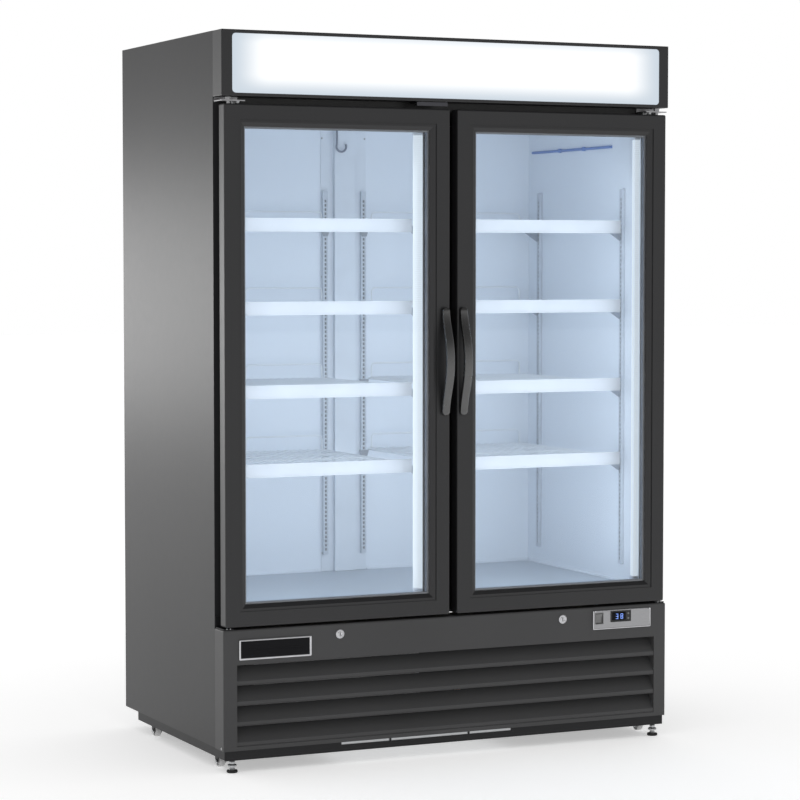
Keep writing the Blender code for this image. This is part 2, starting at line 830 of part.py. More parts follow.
def lamp_switch():
    """A rocker whose two faces meet in a shallow V, resting with its lower half pressed in."""
    half = SWITCH_HEIGHT / 2
    swing = half * math.tan(SWITCH_BEVEL)
    deep, stem = SWITCH_BACK
    upright = [(-swing, half), (0, 0), (-swing, -half), (deep, -stem), (deep, stem)]
    turn = Matrix.Rotation(SWITCH_BEVEL, 2)
    outline = [tuple(turn @ Vector(point)) for point in upright]
    outline = [(y - PLATE_PROUD / 2 + CUT, SWITCH_Z + z) for y, z in outline]
    rocker = plate(outline, SWITCH_WIDTH, SWITCH_X, plane="YZ")
    finish(rocker, "lamp_switch", SOFT_BLACK, 0.35)
    hang(pivot("lamp_switch_axis", at(SWITCH_X, CUT - PLATE_PROUD / 2, SWITCH_Z)), rocker)


def locks():
    """Key locks: a round face and barrel with a cam behind, which turns up into the door."""
    for name, side in SIDES:
        x = side * LOCK_X
        barrel_back = LOCK_CAM_Y + LOCK_CAM_THICKNESS
        face_length = LOCK_PROUD - GAP
        face = rod((x, -GAP - face_length / 2, LOCK_Z), LOCK_RADIUS, face_length, "Y", 32)
        barrel_length = barrel_back + 2 * GAP
        barrel = rod(
            (x, barrel_length / 2 - 2 * GAP, LOCK_Z), LOCK_BARREL_RADIUS, barrel_length, "Y", 24
        )
        half = LOCK_CAM_WIDTH / 2
        tip_x = x + LOCK_CAM_REACH - half
        cam = box((x, LOCK_CAM_Y, LOCK_Z - half), (tip_x, barrel_back, LOCK_Z + half))
        tip_place = (tip_x, LOCK_CAM_Y + LOCK_CAM_THICKNESS / 2, LOCK_Z)
        tip = rod(tip_place, half, LOCK_CAM_THICKNESS, "Y", 16)
        slot_width, slot_height = KEY_SLOT
        key_slot = box(
            (x - slot_width / 2, -LOCK_PROUD - CUT, LOCK_Z - slot_height / 2),
            (x + slot_width / 2, KEY_SLOT_DEPTH, LOCK_Z + slot_height / 2),
        )
        join(face, barrel, cam, tip)
        cut(face, key_slot)
        finish(face, name + "_lock", ZINC, 0.25, 1.0)
        hang(pivot(name + "_lock_axis", at(x, 0, LOCK_Z)), face)


# ---- doors --------------------------------------------------------------------------------
def door_frame(name, side):
    """A framed door: rounded outer frame, stepped bevel down to the glass and a rear rim."""
    outer = DOOR_OUTER
    inner = DOOR_SPLIT
    frame = mirrored_box(side, (inner, 0, DOOR_BOTTOM), (outer, DOOR_THICKNESS, DOOR_TOP))
    soften(frame, DOOR_ROUNDING, 2)
    rim = mirrored_box(
        side,
        (inner + RIM_INSET, DOOR_THICKNESS / 2, DOOR_BOTTOM + RIM_INSET),
        (outer - RIM_INSET, DOOR_THICKNESS + RIM_DEPTH, DOOR_TOP - RIM_INSET),
    )
    join(frame, rim)

    def inset(margin, front, back):
        return mirrored_box(
            side,
            (inner + margin, front, DOOR_BOTTOM + margin),
            (outer - margin, back, DOOR_TOP - margin),
        )

    band = FACE_BAND + BEVEL_BAND
    sight = inset(band, -CUT, DOOR_THICKNESS + RIM_DEPTH + CUT)
    bevel = inset(FACE_BAND, -CUT, GLASS_SETBACK)
    for vertex in bevel.data.vertices:
        if vertex.co.y > 0:
            vertex.co.x -= math.copysign(BEVEL_BAND, vertex.co.x)
            vertex.co.z -= math.copysign(BEVEL_BAND, vertex.co.z)
    step = inset(FACE_BAND, -2 * CUT, BAND_STEP)
    rebate = inset(band - GLASS_BITE, GLASS_SETBACK, DOOR_THICKNESS + RIM_DEPTH + 2 * CUT)
    cut(frame, sight, bevel, step, rebate)

    hole = HINGE_PIN_LENGTH + CUT
    for end in (DOOR_BOTTOM + hole / 2 - CUT, DOOR_TOP - hole / 2 + CUT):
        place = (side * HINGE_AXIS_X, HINGE_Y, end)
        cut(frame, rod(place, HINGE_PIN_RADIUS + HINGE_CLEARANCE, hole, sides=16))
    cut(frame, lock_sweep(side * LOCK_X, LOCK_CLEARANCE))
    return finish(frame, name + "_door_frame", DOOR_BLACK, 0.4)


def door_glass(name, side):
    """The sealed glass unit, in the frame's rebate."""
    margin = FACE_BAND + BEVEL_BAND - GLASS_BITE + GAP
    glass = mirrored_box(
        side,
        (DOOR_SPLIT + margin, GLASS_SETBACK + GAP, DOOR_BOTTOM + margin),
        (DOOR_OUTER - margin, GLASS_SETBACK + GAP + GLASS_THICKNESS, DOOR_TOP - margin),
    )
    return finish(glass, name + "_door_glass", GLASS, 0.05)


def door_gasket(name, side):
    """The magnetic seal between the door's rear rim and the cabinet's face."""
    front = DOOR_THICKNESS + RIM_DEPTH + GAP
    back = CABINET_FACE - GAP

    def ring(margin, y_front, y_back):
        return mirrored_box(
            side,
            (DOOR_SPLIT + margin, y_front, DOOR_BOTTOM + margin),
            (DOOR_OUTER - margin, y_back, DOOR_TOP - margin),
        )

    gasket = ring(GASKET_INSET, front, back)
    cut(gasket, ring(GASKET_INSET + GASKET_WIDTH, front - CUT, back + CUT))
    return finish(gasket, name + "_door_gasket", SOFT_BLACK, 0.7)


def door_handle(name, side):
    """A bow handle: two parabolas between flat feet, wide and flat towards the hand."""
    middle = (HANDLE_LOW + HANDLE_HIGH) / 2
    half = (HANDLE_HIGH - HANDLE_LOW) / 2
    steps = 14
    outer = []
    inner = []
    grip_half = half - HANDLE_FOOT
    for index in range(steps + 1):
        share = 2 * index / steps - 1
        bow = HANDLE_END + (HANDLE_REACH - HANDLE_END) * (1 - share**2)
        outer.append((-bow, middle + share * half))
        hollow = GAP + (HANDLE_REACH - HANDLE_BAR - GAP) * (1 - share**2)
        inner.append((-hollow, middle - share * grip_half))
    outline = [(-GAP, HANDLE_LOW)] + outer + [(-GAP, HANDLE_HIGH)] + inner
    handle = plate(outline, HANDLE_WIDTH, side * HANDLE_X, plane="YZ")
    soften(handle, HANDLE_ROUNDING, 2)
    return finish(handle, name + "_door_handle", SOFT_BLACK, 0.35)


def doors():
    for name, side in SIDES:
        pieces = [make(name, side) for make in (door_frame, door_glass, door_gasket, door_handle)]
        hang(pivot(name + "_door_hinge", at(side * HINGE_AXIS_X, HINGE_Y, DOOR_BOTTOM)), *pieces)


def hinges():
    """Fixed hinge plates on the cabinet's face, each with the pin that the door turns on."""
    back = CABINET_FACE - GAP
    front = APRON_SETBACK
    outer = HALF - CUT
    for name, side in SIDES:
        x = side * HINGE_AXIS_X
        low = (DOOR_TOP + CANOPY_BOTTOM) / 2 - HINGE_PLATE
        high = low + HINGE_PLATE
        upper = mirrored_box(side, (outer - TOP_HINGE_WIDTH, front, low), (outer, back, high))
        leaf = mirrored_box(
            side,
            (outer - TOP_HINGE_WIDTH, back - HINGE_PLATE, low),
            (outer, back, CANOPY_BOTTOM - GAP),
        )
        pin_end = DOOR_TOP - HINGE_PIN_LENGTH + CUT
        pin = rod((x, HINGE_Y, (pin_end + high) / 2), HINGE_PIN_RADIUS, high - pin_end, sides=16)
        head_top = CANOPY_BOTTOM - CUT
        head_place = (x, HINGE_Y, (low + head_top) / 2)
        head = rod(head_place, HINGE_HEAD_RADIUS, head_top - low, sides=6)
        join(upper, leaf, pin, head)
        finish(upper, name + "_top_hinge", ZINC, 0.3, 1.0)

        low = GRILLE_TOP + GAP
        high = low + HINGE_PLATE
        lower = mirrored_box(side, (outer - BOTTOM_HINGE_WIDTH, front, low), (outer, back, high))
        leaf_inner = DOOR_OUTER - RIM_INSET + 2 * CUT
        leaf = mirrored_box(
            side,
            (leaf_inner, back - HINGE_PLATE, low),
            (outer, back, high + BOTTOM_HINGE_WIDTH),
        )
        pin_end = DOOR_BOTTOM + HINGE_PIN_LENGTH - CUT
        pin = rod((x, HINGE_Y, (low + pin_end) / 2), HINGE_PIN_RADIUS, pin_end - low, sides=16)
        join(lower, leaf, pin)
        finish(lower, name + "_bottom_hinge", ZINC, 0.3, 1.0)


# ---- shelving -----------------------------------------------------------------------------
def standards():
    """Upright channels on the side walls that carry the shelf clips."""
    tall = STANDARD_TOP - STANDARD_BOTTOM
    lip = STANDARD_WIDTH / 4
    sheet = SKIN
    for name, side in SIDES:
        for place, middle in (("front", FRONT_STANDARD_Y), ("rear", REAR_STANDARD_Y)):
            wall = INNER_HALF - GAP
            face = wall - STANDARD_DEPTH
            low = middle - STANDARD_WIDTH / 2
            high = middle + STANDARD_WIDTH / 2
            outline = [
                (wall, low - lip),
                (wall, low + sheet),
                (face + sheet, low + sheet),
                (face + sheet, high - sheet),
                (wall, high - sheet),
                (wall, high + lip),
                (wall - sheet, high + lip),
                (wall - sheet, high),
                (face, high),
                (face, low),
                (wall - sheet, low),
                (wall - sheet, low - lip),
            ]
            outline = [(side * x, y) for x, y in outline]
            channel = plate(outline, tall, STANDARD_BOTTOM + tall / 2)
            finish(channel, name + "_" + place + "_standard", ZINC, 0.4, 1.0)


def rear_channel():
    """The centre duct on the back wall, with a shelf standard folded up on each side of it."""
    wall = INNER_BACK - GAP
    flange = wall - LINER
    duct = wall - DUCT_DEPTH
    standard = wall - STANDARD_DEPTH
    half = STANDARD_WIDTH / 2
    right_half = [
        (DUCT_HALF_WIDTH - LINER, duct + LINER),
        (DUCT_HALF_WIDTH - LINER, wall),
        (DUCT_FLANGE, wall),
        (DUCT_FLANGE, flange),
        (DUCT_STANDARD_X + half, flange),
        (DUCT_STANDARD_X + half, standard),
        (DUCT_STANDARD_X - half, standard),
        (DUCT_STANDARD_X - half, flange),
        (DUCT_HALF_WIDTH, flange),
        (DUCT_HALF_WIDTH, duct),
    ]
    tall = EVAPORATOR_BOTTOM - FLOOR_TOP - 2 * GAP
    cover = plate(both_sides(right_half), tall, FLOOR_TOP + GAP + tall / 2)
    finish(cover, "rear_air_channel", LINER_WHITE, 0.4)


def shelf_brackets(left, right, deck_low):
    """The four hooks that reach from a shelf's corners to the standards and the mullion's rib."""
    low = deck_low - BRACKET_HEIGHT
    high = deck_low + DECK_THICKNESS / 2
    half = BRACKET_WIDTH / 2
    wall = INNER_HALF - STANDARD_DEPTH - 2 * GAP
    grip = 2 * BRACKET_WIDTH
    rib = MULLION_POST + MULLION_RIB + GAP
    rib_front, rib_back = MULLION_RIB_Y
    duct_front = INNER_BACK - STANDARD_DEPTH - 2 * GAP
    duct_hook = DUCT_STANDARD_X - half
    reaches = (
        ((right - grip, FRONT_STANDARD_Y - half), (wall, FRONT_STANDARD_Y + half)),
        ((right - grip, REAR_STANDARD_Y - half), (wall, REAR_STANDARD_Y + half)),
        ((rib, rib_front + CUT), (left + grip, rib_back)),
        ((duct_hook, SHELF_BACK - grip), (left + half, duct_front)),
    )
    return [box((*start, low), (*end, high)) for start, end in reaches]


def shelf_shape():
    """One shelf: barred deck, ticket strip along the front and a low fence along the back."""
    left = SHELF_INNER
    right = SHELF_OUTER
    deck_top = -DECK_DROP
    deck_low = deck_top - DECK_THICKNESS
    deck = box((left, SHELF_FRONT + CUT / 2, deck_low), (right, SHELF_BACK, deck_top))
    strip = box(
        (left, SHELF_FRONT, -STRIP_HEIGHT),
        (right, SHELF_FRONT + STRIP_THICKNESS, 0),
    )
    fence = box(
        (left, SHELF_BACK - FENCE_BAR, deck_low + CUT / 2),
        (right, SHELF_BACK, deck_top + FENCE_HEIGHT),
    )
    join(deck, strip, fence, *shelf_brackets(left, right, deck_low))
    slot_pitch = (right - left - 2 * DECK_BORDER + DECK_BAR) / DECK_SLOTS
    for index in range(DECK_SLOTS):
        start = left + DECK_BORDER + index * slot_pitch
        slot = box(
            (start, SHELF_FRONT + DECK_BORDER, deck_low - CUT),
            (start + slot_pitch - DECK_BAR, SHELF_BACK - DECK_BORDER, deck_top + CUT),
        )
        cut(deck, slot)
    bay = (right - left - FENCE_BAR) / FENCE_BAYS
    for index in range(FENCE_BAYS):
        start = left + FENCE_BAR + index * bay
        gate = box(
            (start, SHELF_BACK - 2 * FENCE_BAR, deck_top + FENCE_BAR),
            (start + bay - FENCE_BAR, SHELF_BACK + CUT, deck_top + FENCE_HEIGHT - FENCE_BAR),
        )
        cut(deck, gate)
    CUTTERS.objects.link(deck)
    mesh = evaluated_mesh(deck)
    mesh.name = "shelf"
    place = deck.location.copy()
    for step in list(deck.modifiers):
        bpy.data.objects.remove(step.object)
    bpy.data.objects.remove(deck)
    return mesh, place


def shelves():
    """Eight shelves, four in each section; those on the left are the same piece turned over."""
    mesh, place = shelf_shape()
    turned_mesh = mesh.copy()
    turned_mesh.transform(Matrix.Scale(-1, 4, Vector((1, 0, 0))))
    turned_mesh.flip_normals()
    for name, side in SIDES:
        for number, steps in enumerate(SHELF_STEPS, start=1):
            top = LOWEST_SHELF_TOP + steps * CLIP_PITCH
            shelf = bpy.data.objects.new("shelf", (mesh if side > 0 else turned_mesh).copy())
            shelf.location = Vector((side * place.x, place.y, place.z + top))
            finish(shelf, name + "_shelf_" + str(number), LIGHT_WHITE, 0.35)


# ---- chassis, feet and casters ------------------------------------------------------------
def base_pan():
    """The machine compartment's floor, folded down at the front into a slotted apron."""
    width = HALF - SHEET - GAP
    pan = box((-width, APRON_SETBACK, PAN_BOTTOM), (width, REAR_PANEL_BACK, PAN_TOP))
    apron_half = HALF - APRON_SETBACK
    apron = box(
        (-apron_half, APRON_SETBACK, APRON_BOTTOM),
        (apron_half, APRON_SETBACK + PAN_THICKNESS, PAN_BOTTOM + PAN_THICKNESS / 2),
    )
    join(pan, apron)
    edges = [SLOT_LEFT, *SLOT_TABS, SLOT_RIGHT]
    half_tab = SLOT_TAB_WIDTH / 2
    for start, end in zip(edges, edges[1:]):
        slot = box(
            (start + half_tab, APRON_SETBACK - CUT, SLOT_BOTTOM),
            (end - half_tab, APRON_SETBACK + PAN_THICKNESS + CUT, GRILLE_BOTTOM - GAP),
        )
        cut(pan, slot)
    for _, side in SIDES:
        place = (side * FOOT_AXIS_X, FOOT_Y, PAN_BOTTOM)
        hole = rod(place, FOOT_STEM_RADIUS + FOOT_HOLE_CLEARANCE, 6 * PAN_THICKNESS, sides=16)
        notch = mirrored_box(
            side,
            (HALF - SIDE_RETURN - GAP, CABINET_FACE - GAP, PAN_BOTTOM - CUT),
            (HALF, CABINET_FACE + SKIN + GAP, PAN_TOP + CUT),
        )
        cut(pan, hole, notch)
    finish(pan, "base_pan", SOFT_BLACK, 0.5)


def condensate_tray():
    """A shallow zinc tray under the pan, whose bright front shows through the apron's slots."""
    front = APRON_SETBACK + PAN_THICKNESS + GAP
    low = (SLOT_LEFT - CUT, front, TRAY_BOTTOM)
    high = (SLOT_RIGHT + CUT, front + TRAY_DEPTH, PAN_BOTTOM - GAP)
    tray = box(low, high)
    hollow = box(
        (low[0] + TRAY_SHEET, front + TRAY_SHEET, TRAY_BOTTOM + TRAY_SHEET),
        (high[0] - TRAY_SHEET, high[1] - TRAY_SHEET, high[2] + CUT),
    )
    cut(tray, hollow)
    finish(tray, "condensate_tray", ZINC, 0.3, 1.0)


def base_rails():
    """The channels under the side panels, each with the forks and axles of two casters."""
    inner = HALF - RAIL_INNER
    outer = HALF - RAIL_OUTER
    fork_gap = WHEEL_WIDTH / 2 + FORK_CLEARANCE
    for name, side in SIDES:
        rail = mirrored_box(side, (inner, RAIL_FRONT, RAIL_BOTTOM), (outer, RAIL_BACK, RAIL_TOP))
        hollow = mirrored_box(
            side,
            (inner + RAIL_SHEET, RAIL_FRONT - CUT, RAIL_BOTTOM - CUT),
            (outer - RAIL_SHEET, RAIL_BACK + CUT, RAIL_TOP - RAIL_SHEET),
        )
        cut(rail, hollow)
        for y, lift in ((CASTER_FRONT_Y, WHEEL_LIFT), (CASTER_BACK_Y, 0)):
            axle_z = WHEEL_RADIUS + lift
            for start in (-fork_gap - FORK_SHEET, fork_gap):
                x = CASTER_AXIS_X + start
                cheek = mirrored_box(
                    side,
                    (x, y - FORK_HALF_LENGTH, axle_z - 2 * AXLE_RADIUS),
                    (x + FORK_SHEET, y + FORK_HALF_LENGTH, RAIL_TOP - RAIL_SHEET / 2),
                )
                join(rail, cheek)
            axle_length = 2 * (fork_gap + FORK_SHEET) + CUT
            axle = rod((side * CASTER_AXIS_X, y, axle_z), AXLE_RADIUS, axle_length, "X", 12)
            join(rail, axle)
        foot_place = (side * FOOT_AXIS_X, FOOT_Y, RAIL_TOP)
        cut(rail, rod(foot_place, FOOT_STEM_RADIUS + GAP, 4 * CUT, sides=16))
        finish(rail, name + "_base_rail", SOFT_BLACK, 0.5)


def casters():
    """Four small rollers; the front pair hangs just clear of the floor, beside the feet."""
    for name, side in SIDES:
        for place, y, lift in (
            ("front", CASTER_FRONT_Y, WHEEL_LIFT),
            ("rear", CASTER_BACK_Y, 0),
        ):
            centre = (side * CASTER_AXIS_X, y, WHEEL_RADIUS + lift)
            wheel = rod(centre, WHEEL_RADIUS, WHEEL_WIDTH, "X", 32)
            cut(wheel, rod(centre, AXLE_RADIUS + GAP, WHEEL_WIDTH + CUT, "X", 12))
            finish(wheel, name + "_" + place + "_wheel", ZINC, 0.45)


def levelling_feet():
    """Front feet: a round pad, a flange nut and a threaded stem that screws into the rail."""
    pad = FOOT_PAD_RADIUS
    neck = 0.7 * pad
    stem = FOOT_STEM_RADIUS
    top = PAN_TOP + FOOT_STEM_ABOVE_PAN
    nut_low, nut_high = FOOT_NUT
    nut_neck, nut_top = FOOT_NUT_TOP
    profile = [
        (0, top),
        (stem, top),
        (stem, nut_top + CUT / 2),
        (nut_neck, nut_top),
        (FOOT_NUT_RADIUS, nut_high),
        (FOOT_NUT_RADIUS, nut_low + CUT / 4),
        (stem, nut_low),
        (stem, FOOT_PAD_HEIGHT + CUT / 4),
        (neck, FOOT_PAD_HEIGHT),
        (neck, FOOT_PAD_RIM + CUT),
        (pad, FOOT_PAD_RIM),
        (pad, 0),
        (0, 0),
    ]
    for name, side in SIDES:
        foot = turned(profile, (side * FOOT_AXIS_X, FOOT_Y, 0), steps=24)
        finish(foot, name + "_levelling_foot", ZINC, 0.35, 1.0)


# ---- refrigeration ------------------------------------------------------------------------
def fan_blade(hub_radius, radius, turn, axis):
    """One flat blade, leaned over, moved out along the radius and turned to its place."""
    length = radius - hub_radius / 2
    mesh = bpy.data.meshes.new("blade")
    shape = bmesh.new()
    size = Matrix.Diagonal((length, FAN_BLADE_WIDTH * radius, FAN_BLADE_THICKNESS)).to_4x4()
    bmesh.ops.create_cube(shape, size=1.0, matrix=size)
    shape.to_mesh(mesh)
    shape.free()
    lean = Matrix.Rotation(FAN_LEAN, 4, "X")
    reach = Matrix.Translation((radius / 2 + hub_radius / 4, 0, 0))
    mesh.transform(Matrix.Rotation(turn, 4, "Z") @ reach @ lean)
    if axis == "Y":
        mesh.transform(Matrix.Rotation(-math.pi / 2, 4, "X"))
    return mesh


def fan(centre, radius, axis, hub_radius):
    """A fan rotor: a hub with a bore for its shaft and blades that pitch round it."""
    hub = rod(centre, hub_radius, FAN_HUB_LENGTH, axis, 20)
    for index in range(FAN_BLADES):
        mesh = fan_blade(hub_radius, radius, math.tau * index / FAN_BLADES, axis)
        join(hub, mesh_object(mesh, at(*centre)))
    cut(hub, rod(centre, FAN_SHAFT_RADIUS + GAP, 2 * FAN_HUB_LENGTH, axis, 16))
    return hub


def condenser():
    """The condenser coil behind the louvres, with the shroud on it that carries the fan motor."""
    front, back = CONDENSER_Y
    low = PAN_TOP + GAP
    coil = box((CONDENSER_LEFT, front, low), (CONDENSER_RIGHT, back, CONDENSER_TOP))
    pitch = (CONDENSER_TOP - low) / COIL_BENDS
    for index in range(COIL_BENDS):
        place = (CONDENSER_RIGHT, (front + back) / 2, low + pitch * (index + 0.5))
        join(coil, rod(place, 0.4 * pitch, COIL_TUBE, "Y", 16))

    x = (CONDENSER_LEFT + CONDENSER_RIGHT) / 2
    z = low + FAN_RADIUS + 2 * FAN_TIP_CLEARANCE
    rim = FAN_RADIUS + FAN_TIP_CLEARANCE
    shroud_back = back + SHROUD_DEPTH
    motor_front = shroud_back + CUT
    shroud_place = (x, (back + shroud_back) / 2, z)
    shroud = rod(shroud_place, rim + CUT, SHROUD_DEPTH + CUT, "Y", 40)
    cut(shroud, rod(shroud_place, rim, 2 * SHROUD_DEPTH, "Y", 40))
    motor_place = (x, motor_front + MOTOR_LENGTH / 2, z)
    motor = rod(motor_place, MOTOR_RADIUS, MOTOR_LENGTH, "Y", 24)
    shaft_place = (x, (back + motor_front) / 2, z)
    shaft = rod(shaft_place, FAN_SHAFT_RADIUS, motor_front - back + CUT, "Y", 16)
    reach = rim + CUT / 2
    arm = box((x - reach, motor_front, z - ARM_HALF), (x + reach, motor_front + CUT, z + ARM_HALF))
    join(coil, shroud, motor, shaft, arm)
    for side in (-1, 1):
        post_x = x + side * reach
        post = box(
            (post_x - CUT / 2, shroud_back - CUT, z - ARM_HALF),
            (post_x + CUT / 2, motor_front + CUT, z + ARM_HALF),
        )
        join(coil, post)
    finish(coil, "condenser_coil", STEEL, 0.4, 1.0)

    rotor = fan((x, back + FAN_STAND_OFF, z), FAN_RADIUS, "Y", CONDENSER_HUB_RADIUS)
    finish(rotor, "condenser_fan", STEEL, 0.5)


def compressor():
    """The hermetic compressor: a domed can, with a seam round its middle, on a mounting plate."""
    radius = COMPRESSOR_RADIUS
    plate_low = PAN_TOP + GAP
    plate_top = plate_low + COMPRESSOR_PLATE
    bottom = plate_top - CUT
    top = PAN_TOP + COMPRESSOR_HEIGHT
    angles = [math.pi / 2 * index / COMPRESSOR_ARC for index in range(COMPRESSOR_ARC + 1)]
    dome = [(radius * math.sin(angle), COMPRESSOR_DOME * (1 - math.cos(angle))) for angle in angles]
    upper = [(x, top - drop) for x, drop in dome]
    lower = [(x, bottom + rise) for x, rise in reversed(dome)]
    seam = (top + plate_top) / 2
    lip = COMPRESSOR_SEAM
    middle = [(radius, seam + lip), (radius + lip, seam), (radius, seam - lip)]
    can = turned(upper + middle + lower, (COMPRESSOR_X, COMPRESSOR_Y, 0))
    half = radius + COMPRESSOR_PLATE_MARGIN
    foot = box(
        (COMPRESSOR_X - half, COMPRESSOR_Y - half, plate_low),
        (COMPRESSOR_X + half, COMPRESSOR_Y + half, plate_top),
    )
    join(can, foot)
    finish(can, "compressor", SOFT_BLACK, 0.4)


def evaporator():
    """The ceiling cover over the evaporator, with the circulation fan and its motor bridge."""
    half = INNER_HALF - GAP
    front = CABINET_FACE + HEADER_THICKNESS + GAP
    back = INNER_BACK - GAP
    low = EVAPORATOR_BOTTOM
    y = (front + back) / 2
    cover = box((-half, front, low), (half, back, CEILING_TOP - GAP))
    hollow = box(
        (-half + LINER, front + LINER, low + LINER),
        (half - LINER, back - LINER, CEILING_TOP + CUT),
    )
    rim = EVAPORATOR_FAN_RADIUS + FAN_TIP_CLEARANCE
    cut(cover, hollow, rod((0, y, low), rim, 8 * CUT, sides=40))
    field = (back - front) / 3
    pitch = field / EVAPORATOR_SLOTS
    for index in range(EVAPORATOR_SLOTS):
        start = y - field / 2 + index * pitch
        slot = box(
            (-half / 2 - field / 2, start, low - CUT),
            (-half / 2 + field / 2, start + pitch / 2, low + 2 * CUT),
        )
        cut(cover, slot)
    coil_left, coil_right = EVAPORATOR_COIL
    coil = box(
        (coil_left, y - field / 2, low + LINER / 2),
        (coil_right, y + field / 2, CEILING_TOP - EVAPORATOR_COIL_DROP),
    )
    fan_z = low + EVAPORATOR_FAN_LIFT
    bridge_z = fan_z + EVAPORATOR_BRIDGE_LIFT
    reach = rim + FAN_TIP_CLEARANCE
    bridge = box((-reach, y - BRIDGE_HALF, bridge_z), (reach, y + BRIDGE_HALF, bridge_z + CUT))
    join(cover, coil, bridge)
    for side in (-1, 1):
        x = side * (reach - CUT)
        post = box(
            (x - CUT, y - BRIDGE_HALF, low + LINER / 2),
            (x + CUT, y + BRIDGE_HALF, bridge_z + CUT / 2),
        )
        join(cover, post)
    motor_bottom = bridge_z - EVAPORATOR_MOTOR_LENGTH / 2
    motor = rod((0, y, bridge_z), EVAPORATOR_MOTOR_RADIUS, EVAPORATOR_MOTOR_LENGTH, sides=24)
    shaft_low = fan_z - FAN_HUB_LENGTH - CUT
    shaft_length = motor_bottom + CUT - shaft_low
    shaft = rod((0, y, shaft_low + shaft_length / 2), FAN_SHAFT_RADIUS, shaft_length, sides=16)
    join(cover, motor, shaft)
    finish(cover, "evaporator_housing", LINER_WHITE, 0.4)

    rotor = fan((0, y, fan_z), EVAPORATOR_FAN_RADIUS, "Z", EVAPORATOR_HUB_RADIUS)
    finish(rotor, "evaporator_fan", LIGHT_WHITE, 0.4)


def build():
    side_panels()
    rear_panel()
    roof_panel()
    cabinet_insulation()
    interior_liner()
    door_mullion()
    interior_lights()
    canopy()
    grille_panel()
    controls()
    lamp_switch()
    locks()
    doors()
    hinges()
    standards()
    rear_channel()
    shelves()
    base_pan()
    condensate_tray()
    base_rails()
    casters()
    levelling_feet()
    condenser()
    compressor()
    evaporator()


build()
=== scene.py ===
"""Looks of the glass door merchandiser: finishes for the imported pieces, and the finer pieces.

Places come from the frame. A depth is counted from the plane of the closed door fronts to the
back, and place() puts it into the frame. Lengths are in metres.
"""

import json
import math

import bmesh
import bpy
import numpy as np
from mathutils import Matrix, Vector


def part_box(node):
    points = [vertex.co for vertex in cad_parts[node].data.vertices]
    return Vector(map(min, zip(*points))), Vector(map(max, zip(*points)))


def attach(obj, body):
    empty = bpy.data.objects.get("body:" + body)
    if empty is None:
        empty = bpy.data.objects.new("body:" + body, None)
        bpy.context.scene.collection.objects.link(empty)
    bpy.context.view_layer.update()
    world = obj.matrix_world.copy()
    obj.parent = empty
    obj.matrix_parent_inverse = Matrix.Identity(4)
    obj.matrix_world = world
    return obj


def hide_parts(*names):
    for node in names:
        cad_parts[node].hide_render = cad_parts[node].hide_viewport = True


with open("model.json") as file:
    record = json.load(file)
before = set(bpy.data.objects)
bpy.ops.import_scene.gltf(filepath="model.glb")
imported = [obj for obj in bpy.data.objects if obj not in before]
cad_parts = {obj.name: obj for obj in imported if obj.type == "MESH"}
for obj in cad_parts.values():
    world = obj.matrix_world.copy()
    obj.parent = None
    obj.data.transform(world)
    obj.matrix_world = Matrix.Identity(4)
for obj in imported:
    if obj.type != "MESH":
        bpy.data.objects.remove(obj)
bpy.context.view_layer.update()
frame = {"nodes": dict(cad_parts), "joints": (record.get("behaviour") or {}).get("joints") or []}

SIDES = (("left", -1), ("right", 1))
CANOPY_LOW, CANOPY_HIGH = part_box("canopy_housing")
HALF = CANOPY_HIGH.x
FRONT = CANOPY_LOW.y
TOP = CANOPY_HIGH.z
CABINET_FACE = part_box("left_side_panel")[0].y - FRONT
GRILLE_LOW, GRILLE_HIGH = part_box("grille_panel")
MULLION_LOW, MULLION_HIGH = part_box("door_mullion")
CHANNEL_LOW, CHANNEL_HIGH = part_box("rear_air_channel")
INNER_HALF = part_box("right_wall_light")[1].x
INNER_BACK = CHANNEL_HIGH.y - FRONT
FLOOR_TOP = MULLION_LOW.z
HEADER = MULLION_HIGH.z

CREASE = math.radians(35)
SKIN = 0.0012
STANDARD_DEPTH = 0.010
STANDARD_HALF = 0.008
SLOT_PITCH = 0.0127
SLOT_TALL = 0.0075
SLOT_HALF = 0.0030
SHELF_FROM = 0.0718
SHELF_TO = HALF - 0.086
STRIP_TALL = 0.037
DECK_DROP = 0.010
DUCT_STANDARD_X = 0.063
RIB_DEPTH = 0.126


# ---- meshes -------------------------------------------------------------------------------
def place(x, depth, z):
    """Points of the frame from x, depth behind the door fronts and z, which may be arrays."""
    x, depth, z = np.broadcast_arrays(
        np.asarray(x, float), np.asarray(depth, float), np.asarray(z, float)
    )
    return np.stack([x, FRONT + depth, z], axis=-1)


def patch(points, around=False, along=False):
    """Faces over a grid of points of shape (rows, columns, 3), with an end joined to its start
    where along (rows) or around (columns) says so: corner (i, j) meets (i+1, j), (i+1, j+1) and
    (i, j+1)."""
    rows, columns = points.shape[:2]
    i = np.arange(rows if along else rows - 1)[:, None]
    j = np.arange(columns if around else columns - 1)[None, :]
    down, across = (i + 1) % rows, (j + 1) % columns
    corners = [i * columns + j, down * columns + j, down * columns + across, i * columns + across]
    quads = np.stack(np.broadcast_arrays(*corners), axis=-1).reshape(-1, 4)
    return points.reshape(-1, 3), quads.tolist()


def capped(points):
    """A tube of rings with a flat face over each end ring."""
    vertices, faces = patch(points, around=True)
    rows, columns = points.shape[:2]
    last = (rows - 1) * columns
    return vertices, faces + [list(range(columns)), [last + k for k in range(columns)]]


def joined(shapes):
    """Several shapes as one: their points in a row, their faces counted on."""
    faces = []
    start = 0
    for points, own in shapes:
        faces += [[start + corner for corner in face] for face in own]
        start += len(points)
    return np.concatenate([points for points, _ in shapes]), faces


